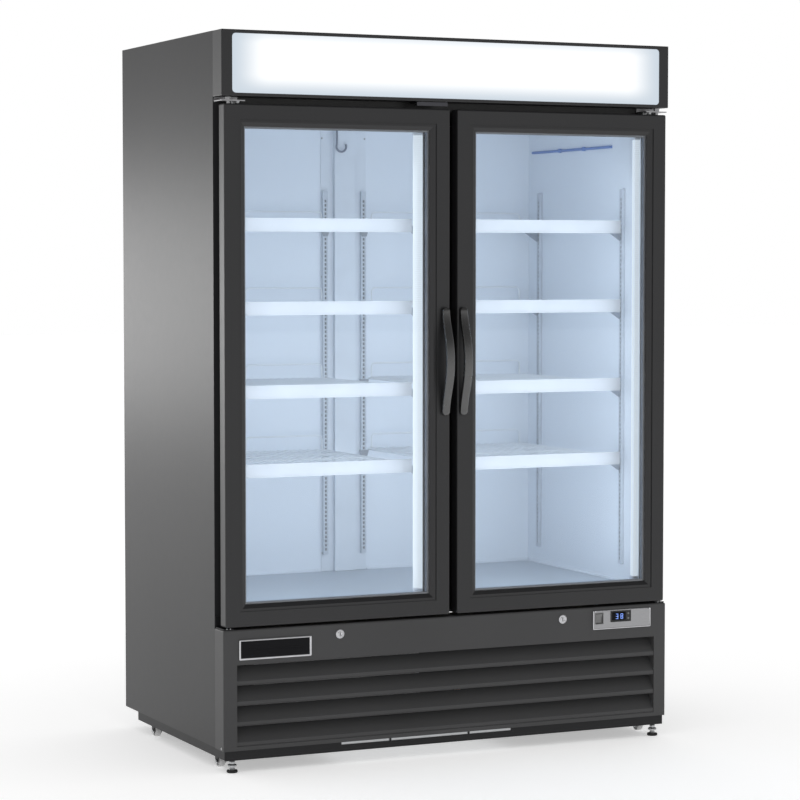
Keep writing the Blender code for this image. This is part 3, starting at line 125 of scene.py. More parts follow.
def rods(starts, ends, radius, sides=8):
    """Straight round bars: ring point = end + radius (cos a * u + sin a * v), where u and v are
    square to the bar and to each other."""
    starts, ends = np.atleast_2d(starts), np.atleast_2d(ends)
    run = ends - starts
    run = run / np.linalg.norm(run, axis=1, keepdims=True)
    helper = np.where(np.abs(run[:, 2:]) < 0.9, [[0.0, 0.0, 1.0]], [[1.0, 0.0, 0.0]])
    u = np.cross(run, helper)
    u = u / np.linalg.norm(u, axis=1, keepdims=True)
    v = np.cross(run, u)
    angle = np.linspace(0, math.tau, sides, endpoint=False)[None, :, None]
    ring = radius * (np.cos(angle) * u[:, None] + np.sin(angle) * v[:, None])
    shapes = []
    for start, end, around in zip(starts, ends, ring):
        shapes.append(capped(np.stack([start + around, end + around])))
    return joined(shapes)


def bent_rod(path, radius, flat_axis, sides=8, closed=False):
    """A round bar along a path that lies in a plane: ring point = path point + radius
    (cos a * flat_axis + sin a * (tangent x flat_axis))."""
    path = np.asarray(path, float)
    if closed:
        tangent = np.roll(path, -1, axis=0) - np.roll(path, 1, axis=0)
    else:
        tangent = np.gradient(path, axis=0)
    tangent = tangent / np.linalg.norm(tangent, axis=1, keepdims=True)
    across = np.asarray(flat_axis, float)[None, :]
    square = np.cross(tangent, across)
    angle = np.linspace(0, math.tau, sides, endpoint=False)[None, :, None]
    rings = path[:, None] + radius * (np.cos(angle) * across[:, None] + np.sin(angle) * square[:, None])
    if closed:
        return patch(rings, around=True, along=True)
    return capped(rings)


def filleted(corners, radius, steps=5):
    """A path through corner points whose corners are rounded: each corner becomes a quadratic
    curve (1-t)^2 a + 2t(1-t) c + t^2 b between points a and b at the radius from corner c."""
    corners = np.asarray(corners, float)
    before, after = np.roll(corners, 1, axis=0), np.roll(corners, -1, axis=0)
    to_before = (before - corners) / np.linalg.norm(before - corners, axis=1, keepdims=True)
    to_after = (after - corners) / np.linalg.norm(after - corners, axis=1, keepdims=True)
    t = np.linspace(0, 1, steps)[None, :, None]
    a, b, c = corners + radius * to_before, corners + radius * to_after, corners[:, None]
    arcs = (1 - t) ** 2 * a[:, None] + 2 * t * (1 - t) * c + t**2 * b[:, None]
    return np.concatenate([corners[:1], arcs[1:-1].reshape(-1, 3), corners[-1:]])


def outline(points, at=(0.0, 0.0), turn=(1, 1)):
    """Points given in millimetres from a corner at, turned over where turn has -1."""
    return np.asarray(at) + np.asarray(points, float) * turn / 1000


def prism(profile, along, start, end):
    """A closed outline of (first, second) points carried straight from start to end.
    along x: points are (depth, z); along y: (x, z), start and end being depths; along z: (x, depth)."""
    first, second = np.asarray(profile, float).T
    rings = []
    for where in (start, end):
        if along == "x":
            rings.append(place(where, first, second))
        elif along == "y":
            rings.append(place(first, where, second))
        else:
            rings.append(place(first, second, where))
    return capped(np.stack(rings))


def turned(profile, centre, axis="z", sides=24):
    """A body turned about an axis from (radius, height) points: point = centre + height * axis +
    radius (cos a, sin a) square to it. It starts and ends on the axis."""
    radius, height = np.asarray(profile, float).T
    angle = np.linspace(0, math.tau, sides, endpoint=False)
    round_x = radius[:, None] * np.cos(angle)
    round_y = radius[:, None] * np.sin(angle)
    level = np.broadcast_to(height[:, None], round_x.shape)
    order = {"z": (round_x, round_y, level), "y": (round_x, level, round_y), "x": (level, round_x, round_y)}
    points = np.stack(order[axis], axis=-1) + place(*centre)
    return patch(points, around=True)


def hoop(section, x, z, sides=32):
    """A ring about the depth axis: each (radius, depth) point of a closed section goes round."""
    radius, depth = section.T
    angle = np.linspace(0, math.tau, sides, endpoint=False)[:, None]
    points = place(x + radius * np.cos(angle), depth, z + radius * np.sin(angle))
    return patch(points, around=True, along=True)


def framed(low, high, rounding, profile, steps=4):
    """A profile carried round an upright rectangle. low and high are its (x, z) corners, each
    profile point is (inset, depth), and a corner arc keeps its centre: point = arc centre +
    (rounding - inset) * direction, so insets past the rounding meet at a mitre."""
    inset, depth = np.asarray(profile, float).T
    turn = np.linspace(0, math.pi / 2, steps)
    centres, directions = [], []
    for x, z, begin in (
        (high[0] - rounding, high[1] - rounding, 0.0),
        (low[0] + rounding, high[1] - rounding, math.pi / 2),
        (low[0] + rounding, low[1] + rounding, math.pi),
        (high[0] - rounding, low[1] + rounding, 1.5 * math.pi),
    ):
        mitre = begin + math.pi / 4
        for angle in begin + turn:
            centres.append((x, z, math.sqrt(2) * math.cos(mitre), math.sqrt(2) * math.sin(mitre)))
            directions.append((math.cos(angle), math.sin(angle)))
    centres, directions = np.array(centres), np.array(directions)
    outside = np.maximum(rounding - inset, 0)[None, :, None]
    past = np.minimum(rounding - inset, 0)[None, :, None]
    flat = centres[:, None, :2] + outside * directions[:, None] + past * centres[:, None, 2:]
    points = place(flat[..., 0], np.broadcast_to(depth, flat.shape[:2]), flat[..., 1])
    return patch(points, around=True, along=True)


def folded_sheet(profile, levels, open_columns=(), open_levels=()):
    """A sheet folded along (x, depth) points and drawn up through z levels, with the cells of
    the open columns left out at the open levels. A Solidify modifier gives its thickness."""
    first, second = np.asarray(profile, float).T
    points = place(first[None, :], second[None, :], np.asarray(levels, float)[:, None])
    vertices, faces = patch(points)
    columns = len(first) - 1
    cell = np.arange(len(faces))
    closed = ~(np.isin(cell % columns, open_columns) & np.isin(cell // columns, open_levels))
    return vertices, [face for face, keep in zip(faces, closed) if keep]


def slotted_levels(low, high, first, last):
    """The z levels of a standard with slots every pitch from first to last, and which of the
    steps between them are slots."""
    count = int((last - first) / SLOT_PITCH)
    starts = first + SLOT_PITCH * np.arange(count)
    levels = np.concatenate([[low], np.stack([starts, starts + SLOT_TALL], axis=1).ravel(), [high]])
    return levels, 1 + 2 * np.arange(count)


def piece(name, body, finish, *shapes, smooth=True, wall=0.0, bevel=0.0):
    """Makes one mesh object from shapes and lets it ride on a body. Doubles are merged and the
    faces turned outward, and a wall or a small bevel is added where asked."""
    points, faces = joined(shapes)
    mesh = bpy.data.meshes.new(name)
    mesh.from_pydata(points.tolist(), [], faces)
    shape = bmesh.new()
    shape.from_mesh(mesh)
    bmesh.ops.remove_doubles(shape, verts=shape.verts, dist=0.00002)
    bmesh.ops.dissolve_degenerate(shape, edges=shape.edges, dist=0.00001)
    bmesh.ops.recalc_face_normals(shape, faces=shape.faces)
    shape.to_mesh(mesh)
    shape.free()
    if smooth:
        mesh.shade_smooth()
        mesh.set_sharp_from_angle(angle=CREASE)
    made = bpy.data.objects.new(name, mesh)
    bpy.context.scene.collection.objects.link(made)
    made.data.materials.append(finish.material)
    if wall:
        thicken = made.modifiers.new("wall", "SOLIDIFY")
        thicken.thickness = wall
        thicken.offset = 0
        thicken.use_even_offset = True
    if bevel:
        edge = made.modifiers.new("edge", "BEVEL")
        edge.width = bevel
        edge.segments = 2
        edge.limit_method = "ANGLE"
    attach(made, body)
    return made


def middle_of(node):
    """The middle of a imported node's box."""
    low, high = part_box(node)
    return (np.array(low) + np.array(high)) / 2


def axis_of(body):
    """The place of the joint that a body turns on."""
    return np.array(next(joint["pos_m"] for joint in frame["joints"] if joint["child"] == body))


# ---- shading ------------------------------------------------------------------------------
def operation(kind, swapped=False):
    """A method that adds one Math node, with its two operands swapped where asked."""

    def method(self, *others):
        operands = (self, *others)
        inputs = dict(enumerate(operands[::-1] if swapped else operands))
        return self.graph.node("ShaderNodeMath", {"operation": kind}, inputs)

    return method


class Value:
    """A number, colour or shader inside a graph. Arithmetic on it adds Math nodes."""

    def __init__(self, graph, socket):
        self.graph = graph
        self.socket = socket

    __add__ = __radd__ = operation("ADD")
    __sub__ = operation("SUBTRACT")
    __rsub__ = operation("SUBTRACT", swapped=True)
    __mul__ = __rmul__ = operation("MULTIPLY")
    __truediv__ = operation("DIVIDE")
    __rtruediv__ = operation("DIVIDE", swapped=True)
    __pow__ = operation("POWER")
    __gt__ = operation("GREATER_THAN")
    __lt__ = operation("LESS_THAN")
    __abs__ = operation("ABSOLUTE")
    wave = operation("SINE")

    def between(self, low, high):
        """0 below low, 1 above high, and a smooth step from one to the other."""
        settings = {"interpolation_type": "SMOOTHSTEP"}
        return self.graph.node("ShaderNodeMapRange", settings, {"Value": self, 1: low, 2: high})


class Graph:
    """The nodes of a material or of the world."""

    def __init__(self, tree):
        self.tree = tree

    def feed(self, sockets, values):
        """Sets or links sockets."""
        for name, value in values.items():
            if isinstance(value, Value):
                self.tree.links.new(value.socket, sockets[name])
            else:
                sockets[name].default_value = value

    def node(self, kind, settings, inputs, output=0):
        """Adds a node: its settings first, then the values or links of its sockets."""
        made = self.tree.nodes.new(kind)
        for name, value in settings.items():
            setattr(made, name, value)
        self.feed(made.inputs, inputs)
        return Value(self, made.outputs[output])


class Finish(Graph):
    """A material with one Principled shader."""

    def __init__(self, name, sockets=None):
        self.material = bpy.data.materials.new(name)
        self.material.use_nodes = True
        super().__init__(self.material.node_tree)
        self.shader = self.tree.nodes["Principled BSDF"]
        self.feed(self.shader.inputs, sockets or {})
        self.here = self.node("ShaderNodeTexCoord", {}, {}, "Object")

    def set(self, socket, value):
        """Sets or links one socket of the Principled shader."""
        self.feed(self.shader.inputs, {socket: value})

    def axis(self, name):
        """The object's own X, Y or Z."""
        return self.node("ShaderNodeSeparateXYZ", {}, {0: self.here}, name)

    def stretched(self, *scale):
        """The object's coordinates, scaled along each axis."""
        settings = {"vector_type": "POINT"}
        return self.node("ShaderNodeMapping", settings, {"Vector": self.here, "Scale": scale})

    def noise(self, scale, detail=3.0, vector=None):
        """Cloudy noise from 0 to 1."""
        inputs = {"Vector": vector or self.here, "Scale": scale, "Detail": detail}
        return self.node("ShaderNodeTexNoise", {}, inputs)

    def cells(self, scale, output="Distance"):
        """Scattered cells: the distance to the middle of the nearest, or its colour."""
        return self.node("ShaderNodeTexVoronoi", {}, {"Vector": self.here, "Scale": scale}, output)

    def mix(self, share, first, second):
        """A colour that goes from first to second as share goes from 0 to 1."""
        inputs = {0: share, 6: first, 7: second}
        return self.node("ShaderNodeMix", {"data_type": "RGBA"}, inputs, output=2)

    def bump(self, height, depth, strength):
        """Raises the surface by height times depth in its shading."""
        inputs = {"Height": height, "Distance": depth, "Strength": strength}
        self.set("Normal", self.node("ShaderNodeBump", {}, inputs))

    def on(self, *nodes):
        """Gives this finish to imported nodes."""
        for name in nodes:
            for slot in frame["nodes"][name].material_slots:
                slot.material = self.material
        return self


def grey(level, blue=0.0):
    """A grey of one level, with a little more blue where asked."""
    return (level, level, level + blue, 1)


def shaded(colour, share):
    """A colour with every channel at a share of its own."""
    return tuple(channel * share for channel in colour[:3]) + (1,)


def powder_coat(name, shade, roughness, gloss=0.5):
    """Baked powder: a fine orange-peel surface, slightly uneven in tone and sheen."""
    finish = Finish(name, {"Specular IOR Level": gloss})
    cloud = finish.noise(2.2, 2.0)
    peel = finish.noise(900, 2.0)
    finish.set("Base Color", finish.mix(cloud, grey(shade * 0.85, 0.0012), grey(shade * 1.2, 0.0015)))
    finish.set("Roughness", roughness - 0.02 + 0.04 * finish.noise(35, 4.0))
    finish.bump(peel, 0.00012, 0.2)
    return finish


def moulded(name, colour, roughness, grain=1400):
    """Moulded plastic or rubber: fine pitted grain and a little tone variation."""
    finish = Finish(name)
    finish.set("Base Color", finish.mix(finish.noise(12, 3.0), shaded(colour, 0.82), colour))
    finish.set("Roughness", roughness - 0.05 + 0.1 * finish.noise(60, 3.0))
    finish.bump(finish.cells(grain), 0.00008, 0.3)
    return finish


def brushed(name, colour, roughness, scale):
    """Metal with a drawn grain: noise stretched along one axis, in tone, sheen and height."""
    finish = Finish(name, {"Metallic": 1.0})
    grain = finish.noise(90, 3.0, finish.stretched(*scale))
    finish.set("Base Color", finish.mix(grain, shaded(colour, 0.78), colour))
    finish.set("Roughness", roughness - 0.06 + 0.14 * grain)
    finish.bump(grain, 0.00004, 0.4)
    return finish


def plated(name, colour, roughness, spangle=260, metal=1.0):
    """Zinc or chrome plate: small flat crystals of slightly different tone."""
    finish = Finish(name, {"Metallic": metal})
    flake = finish.cells(spangle, "Color")
    tone = finish.noise(40, 2.0)
    finish.set("Base Color", finish.mix(tone, shaded(colour, 0.8), colour))
    finish.set("Roughness", roughness + 0.08 * finish.noise(spangle, 1.0, flake))
    finish.bump(tone, 0.00003, 0.3)
    return finish


def two_tone(name, edge, inner_white):
    """White enamel whose outward front face is black: the colours change at a depth."""
    finish = Finish(name)
    y, z = finish.axis("Y"), finish.axis("Z")
    cloudy = finish.mix(finish.noise(3.0, 2.0), inner_white, shaded(inner_white, 0.96))
    white = finish.mix(z < FLOOR_TOP + 0.001, cloudy, (0.44, 0.49, 0.55, 1))
    behind = y > FRONT + edge
    finish.set("Base Color", finish.mix(behind, grey(0.012), white))
    finish.set("Roughness", 0.32 + 0.1 * finish.noise(50, 3.0))
    finish.bump(finish.noise(500, 2.0), 0.00006, 0.3)
    return finish


def lamp_lens(name, colour, strength, ribs):
    """An opal lens lit from inside: fine ribs that vary the light slightly along it."""
    finish = Finish(name, {"Emission Strength": strength, "Roughness": 0.35})
    rib = 0.5 + 0.5 * (finish.axis("Z") * (math.tau / ribs)).wave()
    finish.set("Base Color", finish.mix(rib, grey(0.39), grey(0.43)))
    finish.set("Emission Color", finish.mix(rib, shaded(colour, 0.95), colour))
    finish.bump(rib, 0.0003, 0.25)
    return finish


def sign_face(name):
    """The lit sign: bright across the middle, falling off near its ends and lower edge."""
    low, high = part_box("sign_panel")
    finish = Finish(name, {"Emission Strength": 1.0, "Roughness": 0.25})
    x, z = finish.axis("X"), finish.axis("Z")
    ends = (high.x - abs(x)).between(0.004, 0.115)
    below = (z - low.z).between(0.002, 0.060)
    above = (high.z - z).between(0.000, 0.035)
    lit = ends * below * (0.45 + 0.55 * above)
    cloud = finish.noise(3.0, 2.0)
    cool = finish.mix(cloud, (0.53, 0.61, 0.69, 1), (0.58, 0.65, 0.72, 1))
    finish.set("Emission Color", finish.mix(lit, cool, (0.98, 0.99, 1.0, 1)))
    finish.set("Base Color", finish.mix(lit, grey(0.05), grey(0.10)))
    finish.bump(finish.noise(300, 2.0), 0.00005, 0.2)
    return finish


def clear_glass(name, tint):
    """Clear float glass: see-through, with a mirror share of 4% head on that rises steeply
    towards grazing, as Schlick's formula 0.04 + 0.96 (1 - cos)^5 gives."""
    finish = Finish(name, {"Metallic": 1.0})
    facing = finish.node("ShaderNodeLayerWeight", {}, {"Blend": 0.5}, output=1)
    share = 0.04 + 0.96 * facing**5
    smear = finish.noise(6.0, 3.0)
    finish.set("Base Color", finish.mix(smear, grey(0.93), grey(1.0)))
    finish.set("Roughness", 0.01 + 0.03 * smear)
    through = finish.node("ShaderNodeBsdfTransparent", {}, {"Color": tint})
    mirror = Value(finish, finish.shader.outputs[0])
    blend = finish.node("ShaderNodeMixShader", {}, {0: share, 1: through, 2: mirror})
    finish.feed(finish.tree.nodes["Material Output"].inputs, {"Surface": blend})
    return finish


def finned(name, colour, pitch):
    """Close aluminium fins: near-black stripes repeated along x paint the shade in the gaps between them."""
    finish = Finish(name, {"Metallic": 0.8})
    # Painted shade: the gaps between the fins are coloured near black.
    fin = (finish.axis("X") * (math.tau / pitch)).wave().between(-0.4, 0.5)
    finish.set("Base Color", finish.mix(fin, grey(0.02), colour))
    finish.set("Roughness", 0.35 + 0.2 * finish.noise(40, 2.0))
    finish.bump(fin, 0.0008, 0.8)
    return finish


powder_coat("black_powder_coat", 0.024, 0.33, 0.16).on(
    "left_side_panel", "right_side_panel", "rear_panel", "roof_panel"
)
FRONT_COAT = powder_coat("front_powder_coat", 0.058, 0.42, 0.22).on("grille_panel")
powder_coat("canopy_powder_coat", 0.012, 0.38).on("canopy_housing")
powder_coat("chassis_black", 0.010, 0.5, 0.3).on(
    "base_pan", "left_base_rail", "right_base_rail", "compressor", "left_bottom_hinge", "right_bottom_hinge"
)
powder_coat("door_frame_black", 0.013, 0.40).on("left_door_frame", "right_door_frame")
HANDLE_BLACK = moulded("handle_black", grey(0.016), 0.26)
HANDLE_BLACK.set("Specular IOR Level", 1.0)
HANDLE_BLACK.set("Coat Weight", 0.6)
HANDLE_BLACK.set("Coat Roughness", 0.2)
SEAL_BLACK = moulded("seal_black", grey(0.012), 0.62)
FOOT_RUBBER = moulded("foot_rubber", grey(0.014), 0.7)
KEY_BLACK = moulded("key_black", grey(0.02), 0.4, 2500).on("temperature_controller")
ENAMEL = (0.78, 0.83, 0.90, 1)
two_tone("liner_white", CABINET_FACE + 1.6 * SKIN, ENAMEL).on("interior_liner")
two_tone("mullion_white", CABINET_FACE + 0.0084, ENAMEL).on("door_mullion")
INSIDE_WHITE = moulded("inside_white", ENAMEL, 0.4).on("evaporator_housing")
WIRE_WHITE = moulded("wire_white", (0.84, 0.87, 0.90, 1), 0.35)
TICKET_WHITE = moulded("ticket_white", (0.50, 0.52, 0.56, 1), 0.3)
moulded("foam_cream", (0.78, 0.70, 0.50, 1), 0.9, 300).on("cabinet_insulation")
ZINC = plated("zinc_plate", (0.55, 0.56, 0.57, 1), 0.30).on("condensate_tray")
plated("hinge_steel", (0.42, 0.42, 0.43, 1), 0.30).on("left_top_hinge", "right_top_hinge")
BRACKET_STEEL = plated("bracket_steel", (0.09, 0.09, 0.10, 1), 0.34)
CHROME = plated("chrome_plate", (0.62, 0.62, 0.64, 1), 0.14, 700).on("left_lock", "right_lock")
STANDARD_STEEL = plated("standard_steel", (0.66, 0.71, 0.78, 1), 0.42, metal=0.25)
brushed("control_plate_steel", (0.38, 0.38, 0.39, 1), 0.30, (1.0, 12.0, 12.0)).on("control_plate")
ALUMINIUM = brushed("fan_aluminium", (0.72, 0.74, 0.78, 1), 0.4, (1.0, 1.0, 1.0))
CLIP_STEEL = plated("clip_steel", (0.40, 0.44, 0.50, 1), 0.36, metal=0.7)
SPACER_GREY = brushed("spacer_grey", (0.26, 0.27, 0.29, 1), 0.45, (1.0, 1.0, 1.0))
# Painted shadow: the dark grey of the strip set behind the standards' slots.
SLOT_PAINTED_SHADOW = moulded("slot_shade", (0.26, 0.28, 0.31, 1), 0.6)
finned("coil_fins", (0.60, 0.61, 0.62, 1), 0.004).on("condenser_coil")
COPPER = plated("copper_tube", (0.75, 0.36, 0.22, 1), 0.3)
lamp_lens("inside_light_lens", (0.80, 0.90, 1.0, 1), 0.62, 0.006).on(
    "left_wall_light", "right_wall_light", "left_mullion_light", "right_mullion_light"
)
lamp_lens("sign_lamp_lens", (0.95, 0.98, 1.0, 1), 3.0, 0.01).on("sign_lamp")
sign_face("sign_face").on("sign_panel")
clear_glass("door_glass", (0.965, 0.98, 0.99, 1)).on("left_door_glass", "right_door_glass")
SWITCH_GREY = moulded("switch_grey", grey(0.20), 0.4, 2500).on("lamp_switch")
DISPLAY = powder_coat("display_black", 0.003, 0.12, 0.12)
DIGITS = lamp_lens("display_blue", (0.10, 0.28, 1.0, 1), 1.6, 0.0009)
RAIL_BLUE = moulded("rail_blue", (0.10, 0.22, 0.55, 1), 0.35)
HOOK_STEEL = plated("hook_steel", (0.30, 0.33, 0.40, 1), 0.3)
WHEEL_GREY = moulded("wheel_grey", grey(0.60), 0.4)


# ---- shelves ------------------------------------------------------------------------------
def shelf_wires(side, strip_top, back):
    """A wire shelf: thin wires from front to back on thicker cross rods, two end rods, and a
    bent rod along the back that keeps the goods in."""
    thin, thick = 0.0016, 0.003
    deck = strip_top - DECK_DROP
    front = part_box("left_shelf_1")[0].y - FRONT + 0.003
    x = side * np.linspace(SHELF_FROM + 0.010, SHELF_TO - 0.010, 22)
    wires = rods(place(x, front, deck - thin), place(x, back - 0.003, deck - thin), thin, 6)
    run = np.linspace(front + 0.008, back - 0.006, 5)
    under = deck - 2 * thin - thick
    ends = side * np.array([SHELF_FROM + thick, SHELF_TO - thick])
    cross = rods(place(ends[0], run, under), place(ends[1], run, under), thick, 8)
    edge = rods(place(ends, front, under), place(ends, back - 0.004, under), thick, 8)
    high = deck + 0.040
    gate = []
    for share_from, share_to in ((0.02, 0.485), (0.515, 0.98)):
        left, right = (
            side * (SHELF_FROM + share * (SHELF_TO - SHELF_FROM)) for share in (share_from, share_to)
        )
        corners = place([left, left, right, right], back - 0.006, [under, high, high, under])
        gate.append(bent_rod(filleted(corners, 0.014), 0.0022, (0, 1, 0), 8))
    return [wires, cross, edge, *gate]


def ticket_strip(side, low, front):
    """The price channel on a shelf's front: a face with a returned lip along both edges."""
    tall = STRIP_TALL * 1000
    lower = [(1, 3.2), (0, 3.2), (0, 0), (8, 0), (8, 1.4), (2.4, 1.4)]
    upper = [(2.4, tall - 1.4), (11, tall - 1.4), (11, tall), (0, tall), (0, tall - 3.2), (1, tall - 3.2)]
    ends = sorted((side * SHELF_FROM, side * SHELF_TO))
    return prism(outline(lower + upper, (front, low)), "x", *ends)


def shelf_clips(side, low, back):
    """Pressed steel clips: a braced arm under each shelf corner, hooked into a standard or onto
    the post's rib, and a tapered tab on each back wall standard."""
    deck = low + STRIP_TALL - DECK_DROP - 0.0092
    sheet, foot = 0.0025, low - 0.022

    def arm(reach, wall, foot, inward, depth):
        """A right-angled brace from under the deck down a wall."""
        corners = [(reach, deck), (wall, deck), (wall, foot), (wall + inward, foot), (reach, deck - 0.005)]
        return prism(np.array(corners) * (side, 1), "y", depth - sheet / 2, depth + sheet / 2)

    wall = INNER_HALF - STANDARD_DEPTH - 0.0006
    shapes = []
    for where in ("front", "rear"):
        depth = middle_of(f"left_{where}_standard")[1] - FRONT
        shapes.append(arm(SHELF_TO - 0.030, wall, foot, -0.003, depth))
    rib = MULLION_HIGH.x * 0.95 + 0.0006
    shapes.append(arm(SHELF_FROM + 0.014, rib, foot + 0.012, 0.003, RIB_DEPTH))
    tab = outline([(-15, 0), (17, 0), (9, -24), (-7, -24)], (side * DUCT_STANDARD_X, deck), (side, 1))
    shapes.append(prism(tab, "y", back - 0.002, back))
    return shapes


def shelves():
    """The eight shelves, each as wires, a ticket strip and its clips."""
    back = INNER_BACK - 0.020
    for name, side in SIDES:
        for number in (1, 2, 3, 4):
            node = f"{name}_shelf_{number}"
            low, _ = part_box(node)
            wires = shelf_wires(side, low.z + STRIP_TALL, back)
            made = piece(node + "_wires", "cabinet", WIRE_WHITE, *wires)
            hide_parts(node)
            strip = ticket_strip(side, low.z, low.y - FRONT)
            piece(node + "_ticket_strip", "cabinet", TICKET_WHITE, strip, smooth=False)
            clips = shelf_clips(side, low.z, INNER_BACK - STANDARD_DEPTH - SKIN)
            piece(node + "_clips", "cabinet", CLIP_STEEL, *clips, smooth=False)


def standard(name, low, high, columns):
    """A slotted channel folded from one sheet, with a dark strip inside it as painted shadow
    showing through its slots. columns takes a place across the channel and one out from its wall to (x,
    depth)."""
    half, face = STANDARD_HALF - SKIN / 2, STANDARD_DEPTH - SKIN / 2
    profile = [(-half, SKIN / 2), (-half, face), (-SLOT_HALF, face)]
    profile += [(-across, out) for across, out in reversed(profile)]
    levels, slots = slotted_levels(low, high, low + 0.012, high - 0.012)
    sheet = folded_sheet([columns(across, out) for across, out in profile], levels, [2], slots)
    made = piece(name, "cabinet", STANDARD_STEEL, sheet, smooth=False, wall=SKIN)
    # A dark strip inside the channel: painted shadow where the slots would show shade.
    wide, deep = 0.8 * half, face - 2.2 * SKIN
    core = [(-wide, deep - SKIN), (-wide, deep), (wide, deep), (wide, deep - SKIN)]
    shade = prism([columns(across, out) for across, out in core], "z", low + SKIN, high - SKIN)
    piece(name + "_shade", "cabinet", SLOT_PAINTED_SHADOW, shade, smooth=False)
    return made


def standards():
    """The standards on the side walls."""
    for name, side in SIDES:
        for where in ("front", "rear"):
            node = f"{name}_{where}_standard"
            low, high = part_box(node)
            middle = middle_of(node)[1] - FRONT
            made = standard(
                node + "_slotted",
                low.z,
                high.z,
                lambda across, out: (side * (INNER_HALF - out), middle + across),
            )
            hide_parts(node)


def rear_channel():
    """The back wall's air duct, folded with its flanges, and a standard on each flange."""
    wall = INNER_BACK - 0.0010
    duct = wall - 0.0130
    right = [(0.033, duct), (0.033, wall), (CHANNEL_HIGH.x, wall)]
    profile = [(-x, depth) for x, depth in reversed(right)] + right
    sheet = folded_sheet(profile, [CHANNEL_LOW.z + 0.0005, CHANNEL_HIGH.z - 0.0005])
    made = piece("rear_duct", "cabinet", INSIDE_WHITE, sheet, smooth=False, wall=SKIN)
    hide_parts("rear_air_channel")
    low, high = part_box("left_rear_standard")
    for name, side in SIDES:
        standard(
            name + "_duct_standard",
            low.z,
            high.z,
            lambda across, out: (side * DUCT_STANDARD_X + across, wall - SKIN / 2 - out),
        )


shelves()
standards()
rear_channel()


# ---- doors --------------------------------------------------------------------------------
def door_seal(name):
    """The bellows seal: a flat strip whose two faces wave in and out."""
    low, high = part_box(name + "_door_gasket")
    waves = [(0, 0), (0.0015, 0.25), (0, 0.5), (0.0022, 0.75), (0.001, 1)]
    width, deep = 0.018, high.y - low.y
    outer = [(inset, low.y - FRONT + share * deep) for inset, share in waves]
    inner = [(width - inset, depth) for inset, depth in reversed(outer)]
    ring = framed((low.x, low.z), (high.x, high.z), 0.003, outer + inner)
    seal = piece(name + "_door_seal", name + "_door", SEAL_BLACK, ring)
    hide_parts(name + "_door_gasket")


def glass_spacer(name):
    """The bar that keeps the two panes of a glass unit apart."""
    low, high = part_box(name + "_door_glass")
    pane = 0.004
    front, back = low.y - FRONT + pane, high.y - FRONT - pane
    bar = outline([(6, 0), (12.5, 0), (13.5, 2)], (0, front)).tolist()
    bar += outline([(13.5, -2), (12.5, 0), (6, 0)], (0, back)).tolist()
    ring = framed((low.x, low.z), (high.x, high.z), 0.002, bar)
    piece(name + "_glass_spacer", name + "_door", SPACER_GREY, ring, smooth=False)


def bow_handle(name):
    """A bow grip: an outline of t from -1 to 1 along its height whose outer edge is a raised
    cosine and whose inner edge is a shallower one, with a rounded-rectangle section
    |u|^5 + |v|^3 = 1 that narrows to a half circle at both feet."""
    low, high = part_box(name + "_door_handle")
    middle = middle_of(name + "_door_handle")
    half_x, half_z = (high.x - low.x) / 2, (high.z - low.z) / 2
    reach = FRONT - low.y
    foot, bar, contact = 0.0135, 0.0125, 0.0003
    t = np.sin(np.linspace(-1, 1, 81) * math.pi / 2)[:, None]
    swell = 0.5 + 0.5 * np.cos(math.pi * np.sign(t) * np.abs(t) ** 1.15)
    outer = foot + (reach - foot) * swell
    inner = np.maximum(outer - bar - 0.003 * (1 - t**2), contact)
    inner = np.where(np.abs(t) > 0.84, contact, inner)
    angle = np.linspace(0, math.tau, 28, endpoint=False)[None, :]
    u = np.sign(np.cos(angle)) * np.abs(np.cos(angle)) ** (2 / 5)
    v = np.sign(np.sin(angle)) * np.abs(np.sin(angle)) ** (2 / 3)
    past_straight = np.clip(np.abs(t) - 0.93, 0, 1) / 0.07
    round_end = np.sqrt(np.clip(1 - past_straight**2, 0.01, 1))
    x = middle[0] + half_x * (0.92 + 0.08 * swell) * round_end * u
    depth = -(outer + inner) / 2 - (outer - inner) / 2 * v * round_end
    z = middle[2] + half_z * t + 0 * angle
    grip = capped(place(x, np.minimum(depth, -contact), z))
    made = piece(name + "_door_grip", name + "_door", HANDLE_BLACK, grip)
    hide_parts(name + "_door_handle")


for door, _ in SIDES:
    door_seal(door)
    glass_spacer(door)
    bow_handle(door)


# ---- hardware -----------------------------------------------------------------------------
def screw_head(x, depth, z, radius=0.0035, facing=-1):
    """A pan head: a quarter-round dome with a sunk centre, turned about the depth axis."""
    dome = [(0, 0.35), (0.25, 0.35), (0.30, 0.62), (0.62, 0.55), (0.9, 0.32), (1, 0), (0, 0)]
    return turned(np.array(dome) * (radius, facing * radius), (x, depth, z), "y", 14)


def side_screws():
    """One low dome screw at the foot of each side wrap of the lower front."""
    dome = [(0, 1.8), (2.2, 1.6), (3.6, 0.6), (3.6, 0), (0, 0)]
    heads = []
    for _, side in SIDES:
        height = GRILLE_LOW.z + 0.006
        heads.append(turned(outline(dome, turn=(1, side)), (side * HALF, 0.018, height), "x", 16))
    piece("side_wrap_screws", "cabinet", ZINC, *heads)


def rear_screws():
    """Screws down both sides of the back sheet and along its top."""
    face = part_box("rear_panel")[1].y - FRONT
    top = TOP - 0.03
    side_x, top_x = HALF - 0.024, HALF - 0.16
    places = [(side * side_x, z) for z in np.linspace(0.10, top, 8) for side in (-1, 1)]
    places += [(x, top) for x in np.linspace(-top_x, top_x, 6)]
    heads = [screw_head(x, face, z, 0.004, 1) for x, z in places]
    piece("rear_screws", "cabinet", ZINC, *heads)


